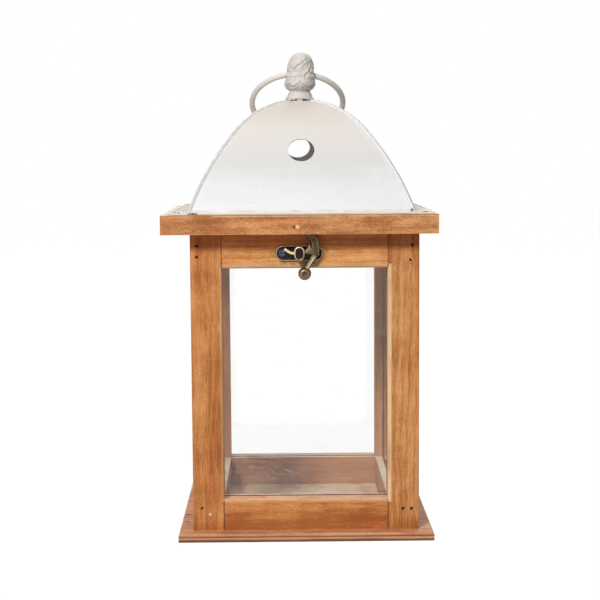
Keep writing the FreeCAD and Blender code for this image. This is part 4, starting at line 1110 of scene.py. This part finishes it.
# Rows of the plate and of the oval stud: inset, height above the case, and rubbing with painted highlight.
PLATE_ROWS = ((0.10, 0.0, 0), (0.0, 0.25, 0), (0.0, 1.05, 0.05), (0.12, 1.32, 0.25), (0.30, 1.47, 0.7),
              (0.50, 1.50, 0.75), (0.70, 1.42, 0.30), (0.86, 1.18, 0), (0.98, 0.84, 0), (1.30, 0.66, 0),
              (2.6, 0.62, 0))
STUD_ROWS = ((-0.55, 0.60, 0), (-0.12, 0.82, 0.1), (0.0, 1.4, 0.15), (0.02, EYE_TOP - 1.1, 0.25),
             (-0.06, EYE_TOP - 0.75, 0.5), (-0.10, EYE_TOP - 0.40, 0.8), (0.06, EYE_TOP - 0.10, 0.95),
             (0.34, EYE_TOP, 0.95), (0.66, EYE_TOP - 0.06, 0.9), (0.92, EYE_TOP - 0.30, 0.6),
             (1.08, EYE_TOP - 0.60, 0.2), (1.30, EYE_TOP - 0.88, 0), (1.7, EYE_TOP - 0.96, 0),
             (2.4, EYE_TOP - 1.0, 0))
TRAY_HIGH, EYE_LOW, EYE_HIGH, EYE_RIM = 1.22, EYE_TOP - 1.1, EYE_TOP - 0.45, 0.98


def stadium_ring(long, tall, y, upright):
    """Points round a plate with round ends about the keeper's middle, in millimetres."""
    radius = tall / 2
    ring = []
    for step in range(PLATE_AROUND):
        angle = 2 * pi * (step + 0.5) / PLATE_AROUND
        x, z = radius * cos(angle), radius * sin(angle)
        x += copysign(long / 2 - radius, x)
        if upright:
            x, z = z, x
        ring.append(Vector((KEEPER.x + x, y, KEEPER.z + z)))
    return ring[::-1] if upright else ring


def keeper_piece(bright, dark):
    """The dished plate with a rolled rim, and the oval stud that the tine passes through."""
    vertices, faces, rub_and_highlight = [], [], []
    for rows, long, tall, upright in ((PLATE_ROWS, PLATE_LONG, PLATE_TALL, False),
                                      (STUD_ROWS, EYE_TALL, EYE_WIDE, True)):
        faces += tube_faces(len(rows), PLATE_AROUND, first=len(vertices))
        for inset, height, share in rows:
            for point in stadium_ring(long - 2 * inset, tall - 2 * inset, -CASE_HALF - height, upright):
                # Painted highlights on the rolled rims, with rubbing; on the stud brighter towards the light.
                towards_light = (point.z - KEEPER.z - 0.6 * (point.x - KEEPER.x)) / 4
                vertices.append(point)
                rub_and_highlight.append(share * (0.62 + 0.38 * clamp(towards_light, -1.0) if upright else 0.75))
    thing = piece("latch_plate", vertices, faces, [bright, dark], "root", ["latch_keeper"],
                  {"rub_and_highlight": rub_and_highlight})
    plate_faces = (len(PLATE_ROWS) - 1) * PLATE_AROUND + 2
    for polygon in thing.data.polygons:
        height = -CASE_HALF - polygon.center.y / MM
        inner = abs(polygon.center.x / MM - KEEPER.x) < EYE_WIDE / 2 - EYE_RIM
        # The tray takes the dark metal, and so does the plate's outer wall, as painted shade.
        in_tray = polygon.index < plate_faces and height < TRAY_HIGH
        in_eye = polygon.index >= plate_faces and EYE_LOW < height < EYE_HIGH and inner
        if in_tray or in_eye:
            polygon.material_index = 1
    return thing


# Nail heads on the front, each driven a little off its mark, and on the back.
FRONT_NAILS = ((-76.0, 207.5), (-76.0, 199.9), (-73.3, 22.1), (-67.7, 17.7), (73.8, 205.7), (73.2, 196.4),
               (67.8, 20.5), (73.9, 20.6))
BACK_NAILS = ((-74.6, 206.8), (-74.6, 198.9), (-74.6, 20.5), (-68.6, 20.5), (74.6, 206.8), (74.6, 198.9),
              (74.6, 20.5), (68.6, 20.5))
BRIGHT_NAIL = 3
# Three heads on the front sit beside their bores; wood flush with the stile closes those.
FLUSH_NAILS = (2, 3, 5)
PLUGGED = {"left": ((-74.6, 20.5), (-68.6, 20.5)), "right": ((74.6, 198.9),)}
PLUG_RADIUS, PLUG_AROUND, PROUD = 1.62, 24, 0.03
# Rows of a head in its bore, and of one on whole wood: share of its size, and depth.
SUNK_ROWS = ((1.0, 1.2), (1.0, 0.42), (0.86, 0.24), (0.45, 0.20), (0.12, 0.22))
FLUSH_ROWS = ((1.0, 0.3), (1.0, -0.05), (0.86, -0.10), (0.45, -0.12), (0.12, -0.12))
NAIL_AROUND = 16


def bore_plugs(stile_woods):
    """Thin discs of the stile's own wood over the bores that no head covers."""
    for side, spots in PLUGGED.items():
        vertices = [(across + PLUG_RADIUS * cos(angle), -CASE_HALF - PROUD,
                     level + PLUG_RADIUS * sin(angle))
                    for across, level in spots for angle in circle(PLUG_AROUND)]
        faces = [tuple(range(first, first + PLUG_AROUND)) for first in range(0, len(vertices), PLUG_AROUND)]
        piece(f"bore_plugs_{side}", vertices, faces, [stile_woods[f"front_{side}"]], "root")


def nail_pieces(dull, shiny):
    """Nail heads on the front and the back, hammered in at a slant; one is still bright."""
    draw = random.Random(7)
    vertices, faces, looks = [], [], []
    for turn, spots in ((-1, FRONT_NAILS), (1, BACK_NAILS)):
        for number, (across, level) in enumerate(spots):
            lean = radians(draw.uniform(-35, 35))
            wide, tall = draw.uniform(0.75, 1.0), draw.uniform(1.25, 1.50)
            tilt = draw.uniform(-0.12, 0.12)
            bright = turn < 0 and number == BRIGHT_NAIL
            if bright:
                wide, tall = 0.85, 0.9
            rows = SUNK_ROWS
            if turn < 0 and number in FLUSH_NAILS:
                rows, tilt = FLUSH_ROWS, 0.0
            made = tube_faces(len(rows), NAIL_AROUND, first=len(vertices))
            faces += [face[::-1] for face in made] if turn > 0 else made
            looks += [int(bright)] * len(made)
            for reach, sunk in rows:
                for angle in circle(NAIL_AROUND):
                    ragged = reach * (1 + 0.07 * sin(3 * angle + across))
                    u, v = wide * ragged * cos(angle), tall * ragged * sin(angle)
                    x = u * cos(lean) - v * sin(lean)
                    z = u * sin(lean) + v * cos(lean)
                    vertices.append((across + x, turn * (CASE_HALF - sunk - tilt * x), level + z))
    thing = piece("nail_heads", vertices, faces, [dull, shiny], "root", ["frame_nails"])
    for polygon, look in zip(thing.data.polygons, looks):
        polygon.material_index = look
    return thing


# Dark spots on the paint: painted shade in notches and under the front nail heads, and dirt
# with painted shadow round the roof's nails. Each has a place, radius and strength.
CORNERS = [((ROOF_X + hand_x * DOME_HALF, hand_y * DOME_HALF, LID_TOP + 0.6), 2.2, 0.80)
           for hand_x, hand_y in ((-1, 1), (1, 1), (-1, -1))]
SEAM_END = [((74.6, -DOME_HALF, LID_TOP + 1.8), 1.8, 0.95)]
NOTCH = [((-75.6, -FLANGE_HALF, LID_TOP + 1.1), 2.7, 0.95), ((-78.4, -FLANGE_HALF, LID_TOP + 1.1), 1.9, 0.90)]
ROUND_NAILS = [((ROOF_X + across, depth, LID_TOP + SHEET), 5.0, 0.55)
               for across in (-ROOF_NAIL, ROOF_NAIL) for depth in (-ROOF_NAIL, ROOF_NAIL)]
UNDER_HEADS = [((ROOF_X + hand * ROOF_NAIL + across, -ROOF_NAIL - down, LID_TOP + 1.25), 1.35, 0.92)
               for hand in (-1, 1) for across, down in ((-2.2, 2.2), (-0.7, 2.9), (0.9, 2.9))]
BRONZE_NODES = ("latch_keeper", "latch_horn", "hinge_leaves_case", "hinge_leaves_lid", "hinge_pins",
                "hinge_screws_case", "hinge_screws_lid")
ZINC_NODES = ("base_screws", "finial_bolt", "crown_washer")


def dress_paint():
    """The roof, its seams, hem and nails, the cone and the ring."""
    # The roof's colours by facing paint light and shade: lighter where the sheet looks down inside the dome,
    # darker at mid slope where the key lamp falls fullest, warm with dust towards the top.
    roof_shades = shade_steps((-0.10, 240, 243, 246), (0.10, 228, 228, 229), (0.34, 228, 228, 229),
                              (0.41, 225, 225, 225), (0.50, 212, 211, 209), (0.64, 221, 214, 207),
                              (0.86, 218, 208, 198))
    roof_paint = enamel("roof_paint", roof_shades, tint(150, 138, 124), 0.46, 0.15,
                        dark_spots=CORNERS + SEAM_END + ROUND_NAILS, dirt_and_shade=flange_dirt_and_shade)
    for side in SIDES:
        dress(f"roof_{side}", roof_paint)
    # The seams' colours by facing are painted light: lightest where they look least upward, so that their
    # shaded flanks read faint.
    seam_shades = shade_steps((0.30, 238, 239, 240), (0.60, 232, 231, 229), (0.90, 222, 219, 214))
    hip_seams(enamel("seam_paint", seam_shades, tint(128, 130, 132), 0.50, dark_spots=SEAM_END))
    hem_shades = shade_steps((-0.2, 222, 208, 186), (0.9, 228, 216, 198))
    flange_hem(enamel("hem_paint", hem_shades, tint(150, 122, 96), 0.46, dark_spots=NOTCH))
    cast_shades = shade_steps((-0.2, 208, 202, 196), (0.9, 218, 210, 203))
    cast_paint = enamel("cast_paint", cast_shades, tint(120, 104, 92), 0.50, 0.20,
                        (LID_TOP + DOME_RISE + 0.2, 1.6))
    dress("finial", cast_paint)
    finial_piece(cast_paint)
    ring_shades = shade_steps((-0.6, 222, 216, 208), (0.6, 226, 219, 211))
    dress("carry_ring", enamel("ring_paint", ring_shades, tint(118, 102, 86), 0.46, 0.15))
    nail_shades = shade_steps((-0.2, 216, 210, 203), (0.7, 250, 248, 245))
    dress("roof_nails", enamel("nail_paint", nail_shades, tint(110, 92, 76), 0.42, 0.15,
                               (LID_TOP + SHEET + 0.15, 0.36), UNDER_HEADS))


def dress_metal():
    """The latch, the hinges and every other bare fitting."""
    metal = bronze()
    for node in BRONZE_NODES:
        dress(node, metal)
    zinc = steel("zinc_steel", tint(140, 142, 146), tint(196, 198, 202), 0.35)
    for node in ZINC_NODES:
        dress(node, zinc)
    # The screw's bright bluish patches are a painted glint.
    dress("keeper_screws", steel("screw_black", tint(22, 22, 26), tint(104, 112, 136), 0.24))
    dress("latch_pin", steel("pin_brass", tint(196, 150, 70), tint(244, 214, 140), 0.25))
    dull = steel("nail_steel", tint(30, 24, 22), tint(64, 54, 50), 0.55, 0.4)
    dress("frame_nails", dull)
    horn_piece(metal)
    keeper_piece(metal, dark_bronze())
    nail_pieces(dull, steel("bright_nail", tint(170, 174, 184), tint(222, 226, 236), 0.30))


# Camera, light and ground

CAMERA_PLACE = (-0.01545, -1.09298, 0.27281)
CAMERA_DOWN, CAMERA_YAW, CAMERA_ROLL = 0.1022, -0.0118, 0.0062
SENSOR, LENS, NEAR_CLIP, FAR_CLIP = 36.0, 88.08, 0.01, 50.0
# Lamps: azimuth and elevation in degrees, distance and width in metres, and watts. Azimuth 0
# is in front and grows to the right.
LAMPS = {"key": (-24, 33, 2.0, 0.36, 29.0), "fill": (48, 22, 2.4, 1.4, 2.5),
         "overhead": (-10, 78, 2.2, 1.2, 7.0), "behind": (168, 38, 2.2, 1.2, 11.0)}
LAMP_AIM = Vector((0, 0, cad_box[1][2] / 2))
# The world's light on the lantern, where 1 is white.
WORLD_FILL = 0.20
FLOOR_HALF, FLOOR_HEIGHT, FLOOR_COLOR = 6.0, -0.0002, (0.46, 0.46, 0.46, 1.0)
FLOOR_GLOW, FLOOR_SHOWN = 1.10, 0.90


def set_camera():
    """The camera that the photograph's edges were fitted to."""
    data = bpy.data.cameras.new("camera")
    data.sensor_width, data.lens = SENSOR, LENS
    data.sensor_fit = "HORIZONTAL"
    data.clip_start, data.clip_end = NEAR_CLIP, FAR_CLIP
    right = Vector((cos(CAMERA_YAW), sin(CAMERA_YAW), 0))
    ahead = Vector((-sin(CAMERA_YAW), cos(CAMERA_YAW), 0))
    forward = ahead * cos(CAMERA_DOWN) - Vector((0, 0, sin(CAMERA_DOWN)))
    up = right.cross(forward)
    turned_right = right * cos(CAMERA_ROLL) - up * sin(CAMERA_ROLL)
    turned_up = right * sin(CAMERA_ROLL) + up * cos(CAMERA_ROLL)
    matrix = Matrix((turned_right, turned_up, -forward)).transposed().to_4x4()
    matrix.translation = CAMERA_PLACE
    camera = add_object("camera", data)
    camera.matrix_world = matrix
    bpy.context.scene.camera = camera


def set_lamps():
    """Square lamps that look at the lantern's middle."""
    for name, (azimuth, elevation, distance, width, power) in LAMPS.items():
        data = bpy.data.lights.new(name, "AREA")
        data.size, data.energy = width, power
        turn, rise = radians(azimuth), radians(elevation)
        away = Vector((sin(turn) * cos(rise), -cos(turn) * cos(rise), sin(rise)))
        lamp = add_object(name, data)
        lamp.location = LAMP_AIM + away * distance
        lamp.rotation_euler = away.to_track_quat("Z", "Y").to_euler()


def seen(g):
    """1 for rays that show the background: straight, mirrored or through glass."""
    return g.most(*g.outputs(g.add("LightPath"), "Is Camera Ray", "Is Glossy Ray", "Is Transmission Ray"))


def set_world():
    """White where it is seen, and a weaker light on the lantern."""
    world = bpy.data.worlds.new("studio")
    g = Graph(world)
    background = g.tree.nodes["Background"]
    g.put(background.inputs["Color"], WHITE)
    strength = g.get("MapRange", {"Value": seen(g), "To Min": WORLD_FILL, "To Max": 1.0})
    g.put(background.inputs["Strength"], strength)
    bpy.context.scene.world = world


def set_floor():
    """A wide pale floor that shows white and keeps the lantern's shadow."""
    mesh = bpy.data.meshes.new("floor")
    corners = [(x * FLOOR_HALF, y * FLOOR_HALF, 0) for x, y in ((-1, -1), (1, -1), (1, 1), (-1, 1))]
    mesh.from_pydata(corners, [], [(0, 1, 2, 3)])
    floor = add_object("floor", mesh)
    floor.location.z = FLOOR_HEIGHT
    g = material_graph("floor_white")
    ground = g.get("BsdfDiffuse", {"Color": FLOOR_COLOR})
    glow = g.get("Emission", {"Color": WHITE, "Strength": FLOOR_GLOW})
    mesh.materials.append(g.show(g.blend(seen(g) * FLOOR_SHOWN, ground, glow)))


def build():
    bpy.context.scene.view_settings.view_transform = "Standard"
    set_camera()
    set_world()
    set_floor()
    set_lamps()
    dress_wood()
    pane = glass()
    for side in SIDES:
        dress(f"glass_{side}", pane)
    dress_paint()
    dress_metal()


build()
bpy.context.view_layer.update()
